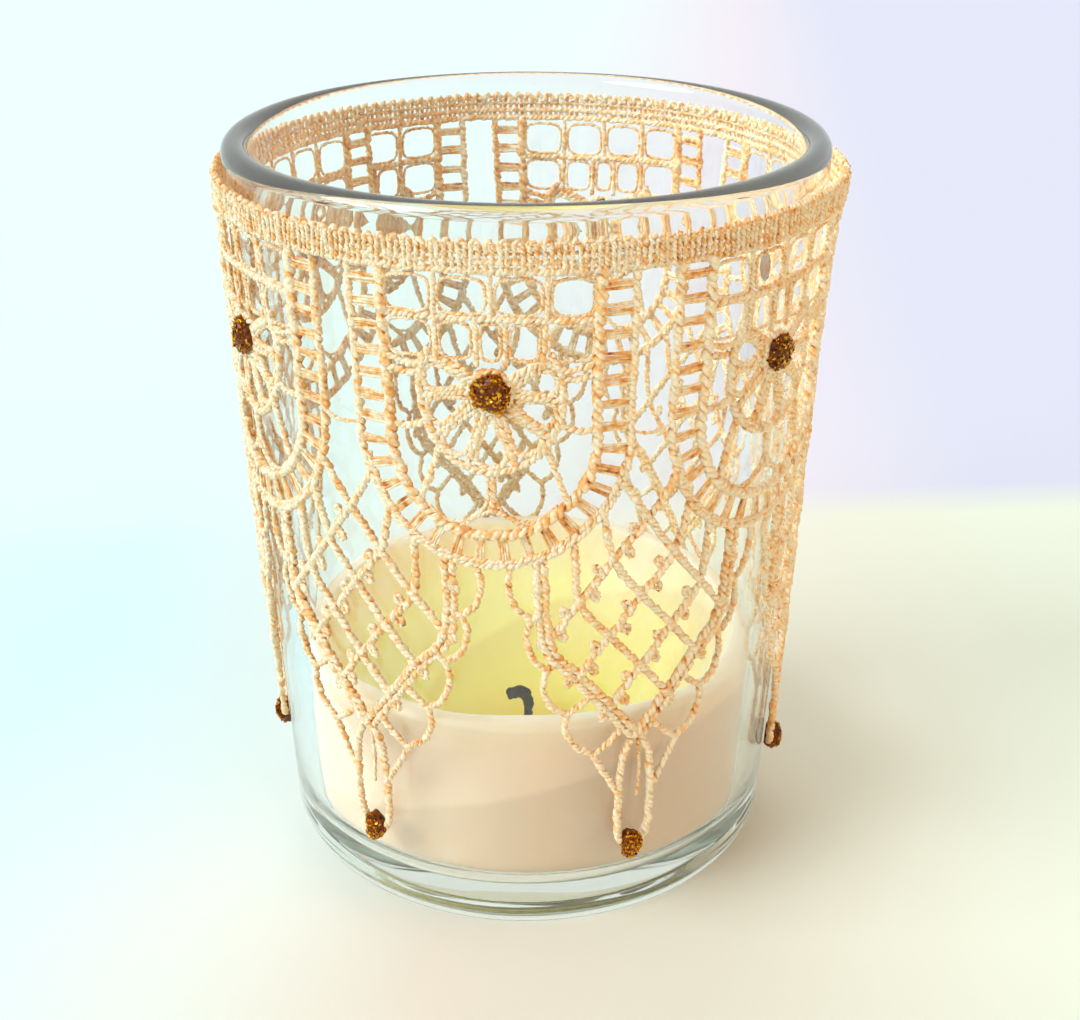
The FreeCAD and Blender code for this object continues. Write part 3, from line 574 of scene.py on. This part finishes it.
def cottonYarn():
    # mercerised cotton, machine stitched: matte and nubby, golden tan with random specks and stains; painted
    # shade makes it pale on top and darker tan in the twist and between the nubs
    material, tree = newMaterial("cottonGuipureYarn")
    place = {"Vector": addNode(tree, "TexCoord").outputs["Object"]}
    tone = addNode(tree, "Attribute", attribute_name="tone")
    nub = addNode(tree, "TexVoronoi", {"Scale": 1 / (0.55 * mm)}, place)
    speck = addNode(tree, "TexNoise", {"Scale": 1 / (0.6 * mm), "Detail": 3.0}, place)
    stain = addNode(tree, "TexNoise", {"Scale": 1 / (9 * mm), "Detail": 2.0}, place)
    total = tone.outputs["Fac"]
    # painted shade: the nub pattern darkens the yarn where its bump sinks between the nubs; the specks and the
    # stain are random tone
    shares = ((speck.outputs["Fac"], 0.6), (stain.outputs["Fac"], 0.35), (nub.outputs["Distance"], -0.45))
    for pattern, share in shares:
        total = addNode(tree, "Math", {1: share}, {0: pattern, 2: total}, operation="MULTIPLY_ADD").outputs[0]
    ramp = addNode(tree, "ValToRGB", links={"Fac": total})
    setRamp(ramp, [(0.22, "#A86024"), (0.43, "#ECA656"), (0.68, "#FFCD88"), (0.95, "#FFF1D0")])
    fibre = addNode(tree, "TexNoise", {"Scale": 1 / (0.22 * mm), "Detail": 3.0}, place)
    rise = addNode(tree, "Math", {1: -1.6}, {0: nub.outputs["Distance"], 2: fibre.outputs["Fac"]},
                   operation="MULTIPLY_ADD")
    bump = addNode(tree, "Bump", {"Strength": 1.0, "Distance": 0.16 * mm}, {"Height": rise.outputs[0]})
    shader = addNode(tree, "BsdfPrincipled", {
        "Roughness": 0.85, "IOR": 1.5, "Sheen Weight": 0.2, "Sheen Roughness": 0.5,
        "Subsurface Weight": 0.25, "Subsurface Radius": (0.7, 0.7, 0.7), "Subsurface Scale": 0.2 * mm,
    }, {"Base Color": ramp.outputs["Color"], "Normal": bump.outputs["Normal"]})
    addNode(tree, "OutputMaterial", links={"Surface": shader.outputs[0]})
    return material


def onBand(path):
    # the runs of a path that lie between the band's cut ends
    kept = (path[:, 0] > bandStart - 0.3) & (path[:, 0] < bandEnd)
    cuts = np.flatnonzero(np.diff(kept.astype(int))) + 1
    return [run for run, good in zip(np.split(path, cuts), np.split(kept, cuts)) if good[0] and len(run) > 3]


yarnMaterial = cottonYarn()
for panel in range(lace["whole"] + 1):
    draw = np.random.default_rng(lace["seed"] + panel)
    yarn = Yarn()
    centre = (panel - lace["before"]) * lace["repeat"]
    cords = [(cord, centre) for cord in (*medallionCords(draw), *headerCords(centre, draw))]
    if panel < lace["whole"]:
        cords += [(cord, centre + lace["repeat"] / 2) for cord in dropCords()]
    for (points, size, closed), middle in cords:
        for run in onBand(smoothPath(np.asarray(points, float) + [middle, 0], closed, lace["step"])):
            yarn.addCord(run, size, draw)
    piece = yarn.build(f"lace_panel_{panel + 1}", yarnMaterial)
    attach(piece, "cup")
    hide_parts("lace_band")
    print(piece.name, "cord", round(yarn.length), "mm,", sum(len(f) - 2 for f in yarn.faces), "triangles")


# Glitter glue: lumpy blobs on the flowers and the points of the lace
glue = {
    "flower": {"radius": 1.8, "long": 1.08, "height": 1.5, "depth": 14.7, "bend": 0.15, "seed": 70},   # mm
    "tip": {"radius": 1.2, "long": 1.4, "height": 1.2, "depth": 68.3, "bend": 0.6, "seed": 90},
    "rings": 14, "segments": 28, "round": 2.3, "rise": 0.75, "lump": 0.17,
    "flakes": 230, "flakeRadius": 0.17, "flakeThick": 0.03, "flakeProud": 0.04, "flakeTilt": 0.45,
}


def amberGlue():
    # dried craft glue: dark amber, glossy, thick enough to hide the thread
    material, tree = newMaterial("driedAmberGlue")
    place = {"Vector": addNode(tree, "TexCoord").outputs["Object"]}
    cloud = addNode(tree, "TexNoise", {"Scale": 1 / (0.45 * mm), "Detail": 3.0}, place)
    ramp = setRamp(addNode(tree, "ValToRGB", links={"Fac": cloud.outputs["Fac"]}),
                   [(0.3, "#2E1202"), (0.55, "#6E3406"), (0.75, "#A8580A")])
    bump = addNode(tree, "Bump", {"Strength": 0.5, "Distance": 0.1 * mm}, {"Height": cloud.outputs["Fac"]})
    shader = addNode(tree, "BsdfPrincipled", {"Roughness": 0.18, "IOR": 1.48, "Specular IOR Level": 0.3},
                     {"Base Color": ramp.outputs["Color"], "Normal": bump.outputs["Normal"]})
    addNode(tree, "OutputMaterial", links={"Surface": shader.outputs[0]})
    return material


def goldFlake():
    # metallised film flakes: mirror bright, each one a slightly different gold
    material, tree = newMaterial("goldFilmFlake")
    place = {"Vector": addNode(tree, "TexCoord").outputs["Object"]}
    tint = addNode(tree, "TexNoise", {"Scale": 1 / (0.35 * mm)}, place)
    ramp = setRamp(addNode(tree, "ValToRGB", links={"Fac": tint.outputs["Fac"]}),
                   [(0.35, "#8E4406"), (0.5, "#D07E12"), (0.68, "#F6C444")])
    shader = addNode(tree, "BsdfPrincipled", {"Metallic": 1.0, "Roughness": 0.22},
                     {"Base Color": ramp.outputs["Color"]})
    addNode(tree, "OutputMaterial", links={"Surface": shader.outputs[0]})
    return material


def glueBlob(name, node, across, form, number):
    draw = np.random.default_rng(form["seed"] + number)
    middle = handWander(np.array([[across, form["depth"]]]))[0]
    phase = draw.uniform(0, 6.28, 6)
    bend = form["bend"] * draw.uniform(-1, 1)

    def surface(tip, turn):
        # tip runs from the top (0) over the edge to the underside (1), turn goes round
        lump = np.sin(3 * turn + phase[0]) * 0.4 + np.sin(5 * turn + 4 * tip + phase[1]) * 0.3
        lump = lump + np.sin(9 * turn - 7 * tip + phase[2]) * 0.25 + np.sin(13 * tip + 2 * turn) * 0.25
        lump = 1 + glue["lump"] * lump
        reach = form["radius"] * np.sin(tip * glue["round"]) * lump
        u, v = reach * np.cos(turn), reach * np.sin(turn) * form["long"]
        u = u + bend * 0.5 * (v / form["radius"]) ** 2
        lift = glue["rise"] + form["height"] * np.cos(tip * glue["round"]) * (0.75 + 0.25 * lump)
        return wrapLace(middle[0] + u, middle[1] + v, np.maximum(lift, 0.0)) * mm

    turns = np.linspace(0, 2 * math.pi, glue["segments"], endpoint=False)
    points = [surface(np.zeros(1), np.zeros(1))[0]]
    for ring in range(1, glue["rings"]):
        points += list(surface(np.full(glue["segments"], ring / (glue["rings"] - 1)), turns))
    faces = []
    around = glue["segments"]
    for i in range(around):
        following = (i + 1) % around
        faces.append([0, 1 + i, 1 + following])
        for ring in range(glue["rings"] - 2):
            row = 1 + ring * around
            faces.append([row + i, row + around + i, row + around + following, row + following])
    faces.append(list(range(len(points) - around, len(points)))[::-1])
    glueFaces = len(faces)
    for _ in range(glue["flakes"]):
        tip, turn = np.array([math.sqrt(draw.uniform(0, 0.42))]), np.array([draw.uniform(0, 6.28)])
        proud = outward(np.array([middle[0]]))
        spot = surface(tip, turn)[0] + glue["flakeProud"] * mm * proud[0]
        out = unit(proud + draw.normal(0, glue["flakeTilt"], 3)[None])[0]
        spin = Vector(out).to_track_quat("Z", "Y").to_matrix()
        size = glue["flakeRadius"] * draw.uniform(0.7, 1.3) * mm
        start = len(points)
        for level in (-0.5, 0.5):
            for corner in range(6):
                a = corner * math.pi / 3
                flat = Vector((size * math.cos(a), size * math.sin(a), level * glue["flakeThick"] * mm))
                points.append(spot + np.array(spin @ flat))
        faces += [[start + i for i in (5, 4, 3, 2, 1, 0)], [start + 6 + i for i in range(6)]]
        faces += [[start + i, start + (i + 1) % 6, start + 6 + (i + 1) % 6, start + 6 + i] for i in range(6)]
    blob = newPiece(name, points, faces, glueMaterial)
    blob.data.materials.append(flakeMaterial)
    flakes = np.arange(len(blob.data.polygons)) >= glueFaces
    blob.data.polygons.foreach_set("material_index", flakes.astype(np.int32))
    blob.data.polygons.foreach_set("use_smooth", ~flakes)
    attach(blob, "cup")
    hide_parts(node)


glueMaterial, flakeMaterial = amberGlue(), goldFlake()
for number in range(lace["whole"]):
    along = (number - lace["before"]) * lace["repeat"]
    glueBlob(f"glitter_flower_{number + 1}", f"medallion_dot_{number + 1}", along, glue["flower"], number)
    along = along + lace["repeat"] / 2
    glueBlob(f"glitter_tip_{number + 1}", f"tip_dot_{number + 1}", along, glue["tip"], number)
print("glitter glue:", 2 * lace["whole"], "blobs")


# The candle: part burnt, with a deep bowl and a thin lip left against the glass
candle = {
    "clearance": 0.3, "seat": 5.9, "top": 27.4, "lip": 2.0, "bowlFloor": 10.36, "footRound": 3.5,   # mm
    "lipRound": 0.8, "lipEdge": 0.3, "wavyDepth": 8, "wavyFrom": 0.5, "bowlWave": 0.16, "lipWave": 0.18,
    "tabRadius": 8.06, "tabTop": 6.36, "neckRadius": 1.56, "neckTop": 9.36, "wickHole": 0.71,
    "tintReach": 27, "apart": (18.2, 19.0), "apartSlope": -0.31, "apartWave": 1.6, "segments": 192,
}


def candleProfile():
    c = candle
    foot, top = boreRadius(c["seat"]) - c["clearance"], boreRadius(c["top"]) - c["clearance"]
    edge, drop = top - c["lip"], c["top"] - c["bowlFloor"]
    bowl = (edge ** 2 + drop ** 2) / (2 * drop)
    degrees = math.degrees(tilt)
    low = (foot + math.tan(tilt) * c["footRound"] - c["footRound"] / math.cos(tilt), c["seat"] + c["footRound"])
    footArc = arcPoints(low, c["footRound"], -90, -degrees, 10)
    reach = math.degrees(math.asin(edge / bowl))
    hole = math.degrees(math.asin(c["wickHole"] / bowl))
    bowlArc = arcPoints((0, c["bowlFloor"] + bowl), bowl, reach - 90, hole - 90, 48)
    profile = [(c["wickHole"], c["neckTop"]), (c["neckRadius"], c["neckTop"]), (c["neckRadius"], c["tabTop"]),
               (c["tabRadius"], c["tabTop"]), (c["tabRadius"], c["seat"])]
    lipIn, lipLow = top - c["lipRound"], c["top"] - c["lipRound"]
    profile += runPoints(profile[-1], footArc[0], 4) + footArc + runPoints(footArc[-1], (top, lipLow), 8)
    profile += arcPoints((lipIn, lipLow), c["lipRound"], 0, 90, 6)
    profile += runPoints((lipIn, c["top"]), (edge + c["lipEdge"], c["top"]), 3)
    return profile + bowlArc + [(c["wickHole"], c["neckTop"])]


def meltedUneven(turns, radius, height):
    # wax sets unevenly: the bowl and the lip are a little wavy
    c = candle
    below = (height - c["top"]) / c["wavyDepth"]
    upper = math.sqrt(max(0, 1 - below ** 2)) if height > c["top"] - c["wavyDepth"] else 0
    inner = boreRadius(height) - c["clearance"] - c["wavyFrom"]
    inside = 1 if radius < inner and height > c["bowlFloor"] + c["wavyFrom"] else 0
    wave = np.sin(3 * turns + 0.7) + 0.6 * np.sin(7 * turns + height / 3)
    wave = wave + 0.4 * np.sin(13 * turns - height / 2)
    lip = np.sin(2 * turns + 1.1) + 0.5 * np.sin(5 * turns) + 0.4 * np.sin(11 * turns + 0.5)
    return c["bowlWave"] * inside * wave, c["lipWave"] * upper * inside * lip


def paraffinWax():
    # paraffin: satin and translucent, whiter where it is pressed on the glass; a painted warm glow makes it
    # strong yellow in the bowl round the wick, where the wax is a little yellowed
    material, tree = newMaterial("whiteParaffinWax")
    place = {"Vector": addNode(tree, "TexCoord").outputs["Object"]}
    axes = addNode(tree, "SeparateXYZ", links=place)
    level = addNode(tree, "CombineXYZ", links={"X": axes.outputs["X"], "Y": axes.outputs["Y"]})
    reach = addNode(tree, "VectorMath", links={0: level.outputs[0]}, operation="LENGTH")
    cloud = addNode(tree, "TexNoise", {"Scale": 1 / (7 * mm), "Detail": 3.0}, place)
    spread = addNode(tree, "Math", {1: 1 / (candle["tintReach"] * mm)}, {0: reach.outputs["Value"]},
                     operation="MULTIPLY")
    spread = addNode(tree, "Math", {1: 0.12}, {0: cloud.outputs["Fac"], 2: spread.outputs[0]},
                     operation="MULTIPLY_ADD")
    # painted glow: strong yellow round the wick, fading to ivory towards the lip, over wax a little yellowed
    # there; the brown at the very middle is a stain by the wick
    ramp = setRamp(addNode(tree, "ValToRGB", links={"Fac": spread.outputs[0]}), [
        (0.08, "#A87838"), (0.13, "#FCE464"), (0.4, "#FFF88C"),
        (0.8, "#FFF8B0"), (0.97, "#F4E4CC"), (1.0, "#F0DABC"),
    ])
    slope = axes.outputs["Z"]   # a slanting edge, where the wax has come away from the glass
    shares = ((axes.outputs["X"], candle["apartSlope"]), (cloud.outputs["Fac"], candle["apartWave"] * mm))
    for pattern, share in shares:
        slope = addNode(tree, "Math", {1: share}, {0: pattern, 2: slope}, operation="MULTIPLY_ADD").outputs[0]
    low, high = candle["apart"]
    apart = addNode(tree, "MapRange", {"From Min": low * mm, "From Max": high * mm}, {"Value": slope})
    tint = addNode(tree, "ValToRGB", links={"Fac": apart.outputs[0]})
    setRamp(tint, [(0.0, "#F1EEEA"), (1.0, "#FFFFFF")])
    colour = addNode(tree, "Mix", {0: 1.0}, {6: ramp.outputs["Color"], 7: tint.outputs["Color"]},
                     data_type="RGBA", blend_type="MULTIPLY")
    bump = addNode(tree, "Bump", {"Strength": 0.15, "Distance": 0.4 * mm}, {"Height": cloud.outputs["Fac"]})
    shader = addNode(tree, "BsdfPrincipled", {
        "Roughness": 0.4, "IOR": 1.44, "Subsurface Weight": 0.8, "Subsurface Radius": (1.0, 0.85, 0.6),
        "Subsurface Scale": 4 * mm,
    }, {"Base Color": colour.outputs[2], "Normal": bump.outputs["Normal"]})
    addNode(tree, "OutputMaterial", links={"Surface": shader.outputs[0]})
    return material


waxPoints, waxFaces = latheRings(candleProfile(), candle["segments"], meltedUneven)
wax = newPiece("candle_body", waxPoints, waxFaces, paraffinWax())
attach(wax, "candle")
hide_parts("candle_wax")
print("candle:", len(waxFaces), "faces")


# The wick: braided cotton, charred, its head bent over
wickSize = {
    "radius": 0.62, "foot": 6.5, "bendFrom": 14.86, "bend": 1.1, "head": 1.1, "step": 0.12,   # mm
    "turn": 115,   # degrees
    "charFrom": 0.55, "charOver": 0.35, "swell": 0.35, "crumble": 0.25, "ending": (0.92, 0.8, 0.6, 0.3),
    "plies": 3, "pitch": 2.8, "sides": 12, "rough": 0.2, "soaked": (10.2, 12.6), "seed": 12,
}


def charredCotton():
    # carbonised cotton: black and dry with grey ash, brown where wax still soaks it
    material, tree = newMaterial("charredCottonWick")
    place = {"Vector": addNode(tree, "TexCoord").outputs["Object"]}
    axes = addNode(tree, "SeparateXYZ", links=place)
    crumb = addNode(tree, "TexNoise", {"Scale": 1 / (0.4 * mm), "Detail": 4.0}, place)
    wet, dry = wickSize["soaked"]
    high = addNode(tree, "MapRange", {"From Min": wet * mm, "From Max": dry * mm, "To Max": 0.6},
                   {"Value": axes.outputs["Z"]})
    mixed = addNode(tree, "Math", {1: 0.4}, {0: crumb.outputs["Fac"], 2: high.outputs[0]},
                    operation="MULTIPLY_ADD")
    ramp = setRamp(addNode(tree, "ValToRGB", links={"Fac": mixed.outputs[0]}),
                   [(0.1, "#7A5228"), (0.4, "#2A1A0E"), (0.7, "#0C0A09"), (0.95, "#2B2927")])
    bump = addNode(tree, "Bump", {"Strength": 0.8, "Distance": 0.12 * mm}, {"Height": crumb.outputs["Fac"]})
    shader = addNode(tree, "BsdfPrincipled", {"Roughness": 0.95, "Specular IOR Level": 0.1},
                     {"Base Color": ramp.outputs["Color"], "Normal": bump.outputs["Normal"]})
    addNode(tree, "OutputMaterial", links={"Surface": shader.outputs[0]})
    return material


def wickPath():
    w = wickSize
    stem = [(0, z) for z in np.arange(w["foot"], w["bendFrom"], w["step"])]
    bend = arcPoints((-w["bend"], w["bendFrom"]), w["bend"], 0, w["turn"], 20)
    end = math.radians(w["turn"])
    ahead = np.arange(w["step"], w["head"], w["step"])
    head = [(bend[-1][0] - s * math.sin(end), bend[-1][1] + s * math.cos(end)) for s in ahead]
    flat = np.array(stem + bend + head)
    return np.stack([flat[:, 0], np.zeros(len(flat)), flat[:, 1]], -1)


wickDraw = np.random.default_rng(wickSize["seed"])
wickSpine = wickPath()
wickCount = len(wickSpine)
charred = np.clip((np.arange(wickCount) / wickCount - wickSize["charFrom"]) / wickSize["charOver"], 0, 1)
crumbled = wickSize["crumble"] * charred * softNoise(wickCount, 3, wickDraw)
wickRadius = wickSize["radius"] * (1 + wickSize["swell"] * charred + crumbled)
wickRadius[-len(wickSize["ending"]):] *= wickSize["ending"]
wickFront = np.tile([0.0, -1.0, 0.0], (wickCount, 1))
braid = Yarn()
braid.addTwist(wickSpine, wickFront, wickRadius, wickSize["plies"], wickSize["pitch"], wickSize["sides"],
               wickDraw, wickSize["rough"])
wick = braid.build("braided_wick", charredCotton())
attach(wick, "candle")
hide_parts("wick")


def tinPlate():
    # stamped tinplate: dull bright metal with faint roller streaks
    material, tree = newMaterial("stampedTinplate")
    place = {"Vector": addNode(tree, "TexCoord").outputs["Object"]}
    streak = addNode(tree, "TexNoise", {"Scale": 1 / (0.8 * mm), "Detail": 3.0, "Distortion": 0.4}, place)
    rough = addNode(tree, "MapRange", {"To Min": 0.28, "To Max": 0.5}, {"Value": streak.outputs["Fac"]})
    ramp = setRamp(addNode(tree, "ValToRGB", links={"Fac": streak.outputs["Fac"]}),
                   [(0.3, "#9C9C98"), (0.7, "#C6C6C0")])
    shader = addNode(tree, "BsdfPrincipled", {"Metallic": 1.0},
                     {"Base Color": ramp.outputs["Color"], "Roughness": rough.outputs[0]})
    addNode(tree, "OutputMaterial", links={"Surface": shader.outputs[0]})
    return material


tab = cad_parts["wick_tab"]
tab.data.materials.clear()
tab.data.materials.append(tinPlate())
print("wick and tab done")


# Camera at the photograph's angle
camera = {
    "lens": 57.74, "sensor": 36, "distance": 182.16, "height": 124.35,   # mm
    "turn": 6.12, "pitch": 24.94, "yaw": 0.447,   # degrees
}
shot = bpy.data.cameras.new("camera")
shot.lens, shot.sensor_width = camera["lens"], camera["sensor"]
shot.clip_start, shot.clip_end = 0.01, 20
cameraObject = bpy.data.objects.new("camera", shot)
bpy.context.scene.collection.objects.link(cameraObject)
cameraTurn = math.radians(camera["turn"])
cameraObject.location = Vector((camera["distance"] * math.sin(cameraTurn),
                                -camera["distance"] * math.cos(cameraTurn), camera["height"])) * mm
cameraObject.rotation_euler = (math.radians(90 - camera["pitch"]), 0,
                               math.radians(camera["turn"] - camera["yaw"]))
bpy.context.scene.camera = cameraObject


# Pale floor and soft studio light
studio = {
    "floor": 6.0,   # m
    "floorDrop": 0.05, "tintReach": 70, "backdropShadeEdge": (79, 91),   # mm
    "backdropShadeSlope": -0.19,   # the edge of the painted backdrop shade runs a little askew
}


def paleCard():
    # matte card with light and shade painted on it: cool and bright to the left, warm white in front, and a
    # shaded lilac tone behind a slanting edge where a backdrop stands
    material, tree = newMaterial("paleMattCard")
    place = {"Vector": addNode(tree, "TexCoord").outputs["Object"]}
    axes = addNode(tree, "SeparateXYZ", links=place)
    reach, (near, far) = studio["tintReach"] * mm, studio["backdropShadeEdge"]
    across = addNode(tree, "MapRange", {"From Min": -reach, "From Max": reach}, {"Value": axes.outputs["X"]})
    # painted light: cool and bright to the left, warm white in the middle, a little green to the right
    front = setRamp(addNode(tree, "ValToRGB", links={"Fac": across.outputs[0]}),
                    [(0.0, "#D6F8FF"), (0.45, "#E9E8DC"), (1.0, "#E4F4E8")])
    # painted shade: the lilac tone behind the edge stands in for a backdrop in shade
    behind = setRamp(addNode(tree, "ValToRGB", links={"Fac": across.outputs[0]}),
                     [(0.0, "#DCFBFF"), (0.7, "#E2E4F2"), (1.0, "#D2DDF4")])
    slant = addNode(tree, "Math", {1: studio["backdropShadeSlope"]}, {0: axes.outputs["X"], 2: axes.outputs["Y"]},
                    operation="MULTIPLY_ADD")
    edge = addNode(tree, "MapRange", {"From Min": near * mm, "From Max": far * mm}, {"Value": slant.outputs[0]})
    both = addNode(tree, "Mix", links={0: edge.outputs[0], 6: front.outputs[0], 7: behind.outputs[0]},
                   data_type="RGBA")
    grain = addNode(tree, "TexNoise", {"Scale": 1 / (0.5 * mm), "Detail": 2.0}, place)
    bump = addNode(tree, "Bump", {"Strength": 0.1, "Distance": 0.1 * mm}, {"Height": grain.outputs["Fac"]})
    shader = addNode(tree, "BsdfPrincipled", {"Roughness": 0.9, "Specular IOR Level": 0.1},
                     {"Base Color": both.outputs[2], "Normal": bump.outputs["Normal"]})
    addNode(tree, "OutputMaterial", links={"Surface": shader.outputs[0]})
    return material


floorHalf, floorLevel = studio["floor"] / 2, -studio["floorDrop"] * mm
corners = [(x * floorHalf, y * floorHalf, floorLevel) for x, y in ((-1, -1), (1, -1), (1, 1), (-1, 1))]
floor = newPiece("floor", corners, [[0, 1, 2, 3]], paleCard())


def addLamp(name, source, spread, power, colour):
    # a broad even lamp, like a window or a large diffuser far off
    lamp = bpy.data.lights.new(name, "SUN")
    lamp.angle, lamp.energy, lamp.color = math.radians(spread), power, hexColour(colour)[:3]
    lampObject = bpy.data.objects.new(name, lamp)
    bpy.context.scene.collection.objects.link(lampObject)
    lampObject.location = Vector(source) * 0.5
    lampObject.visible_transmission = False
    lampObject.visible_glossy = name == "window"
    lampObject.rotation_euler = (-Vector(source)).to_track_quat("-Z", "Y").to_euler()


lamps = {   # the way to the lamp, its spread in degrees, its strength and its colour
    "window": ((-0.8, -0.52, 0.7), 40, 2.45, "#FCFEFF"),
    "backDiffuser": ((-0.3, 0.9, 0.3), 60, 2.0, "#FFFFFF"),
    "warmBounce": ((0.8, -0.5, 0.55), 60, 1.0, "#FFB068"),
}
for lampName, setting in lamps.items():
    addLamp(lampName, *setting)
print("camera, floor and", len(lamps), "lamps done")

world = bpy.data.worlds.new("softRoom")
bpy.context.scene.world = world
world.use_nodes = True
sky = world.node_tree
sky.nodes.clear()
coord = addNode(sky, "TexCoord")
axes = addNode(sky, "SeparateXYZ", links={"Vector": coord.outputs["Generated"]})
sideways = addNode(sky, "MapRange", {"From Min": -1.0, "From Max": 1.0}, {"Value": axes.outputs["X"]})
glow = setRamp(addNode(sky, "ValToRGB", links={"Fac": sideways.outputs[0]}),
               [(0.2, "#E4F6FF"), (0.9, "#FFE6C4")])
towards = addNode(sky, "MapRange", {"From Min": -1.0, "From Max": 0.6}, {"Value": axes.outputs["Y"]})
room = setRamp(addNode(sky, "ValToRGB", links={"Fac": towards.outputs[0]}),
               [(0.0, "#B4C0CC"), (0.3, "#CCD8E2"), (0.55, "#E8F2F8"), (0.8, "#F8FCFF")])
light = addNode(sky, "Background", {"Strength": 0.46}, {"Color": glow.outputs["Color"]})
shown = addNode(sky, "Background", {"Strength": 1.0}, {"Color": room.outputs["Color"]})
rays = addNode(sky, "LightPath")
seen = addNode(sky, "Math", links={0: rays.outputs["Is Camera Ray"], 1: rays.outputs["Is Glossy Ray"]},
               operation="ADD")
seen = addNode(sky, "Math", links={0: seen.outputs[0], 1: rays.outputs["Is Transmission Ray"]},
               operation="ADD", use_clamp=True)
both = addNode(sky, "MixShader", links={0: seen.outputs[0], 1: light.outputs[0], 2: shown.outputs[0]})
addNode(sky, "OutputWorld", links={"Surface": both.outputs[0]})

# light runs far inside the rim and the base before it leaves the glass
paths = bpy.context.scene.cycles
paths.max_bounces, paths.glossy_bounces, paths.transmission_bounces = 32, 24, 24
bpy.context.scene.view_settings.view_transform = "Standard"
print("room done")
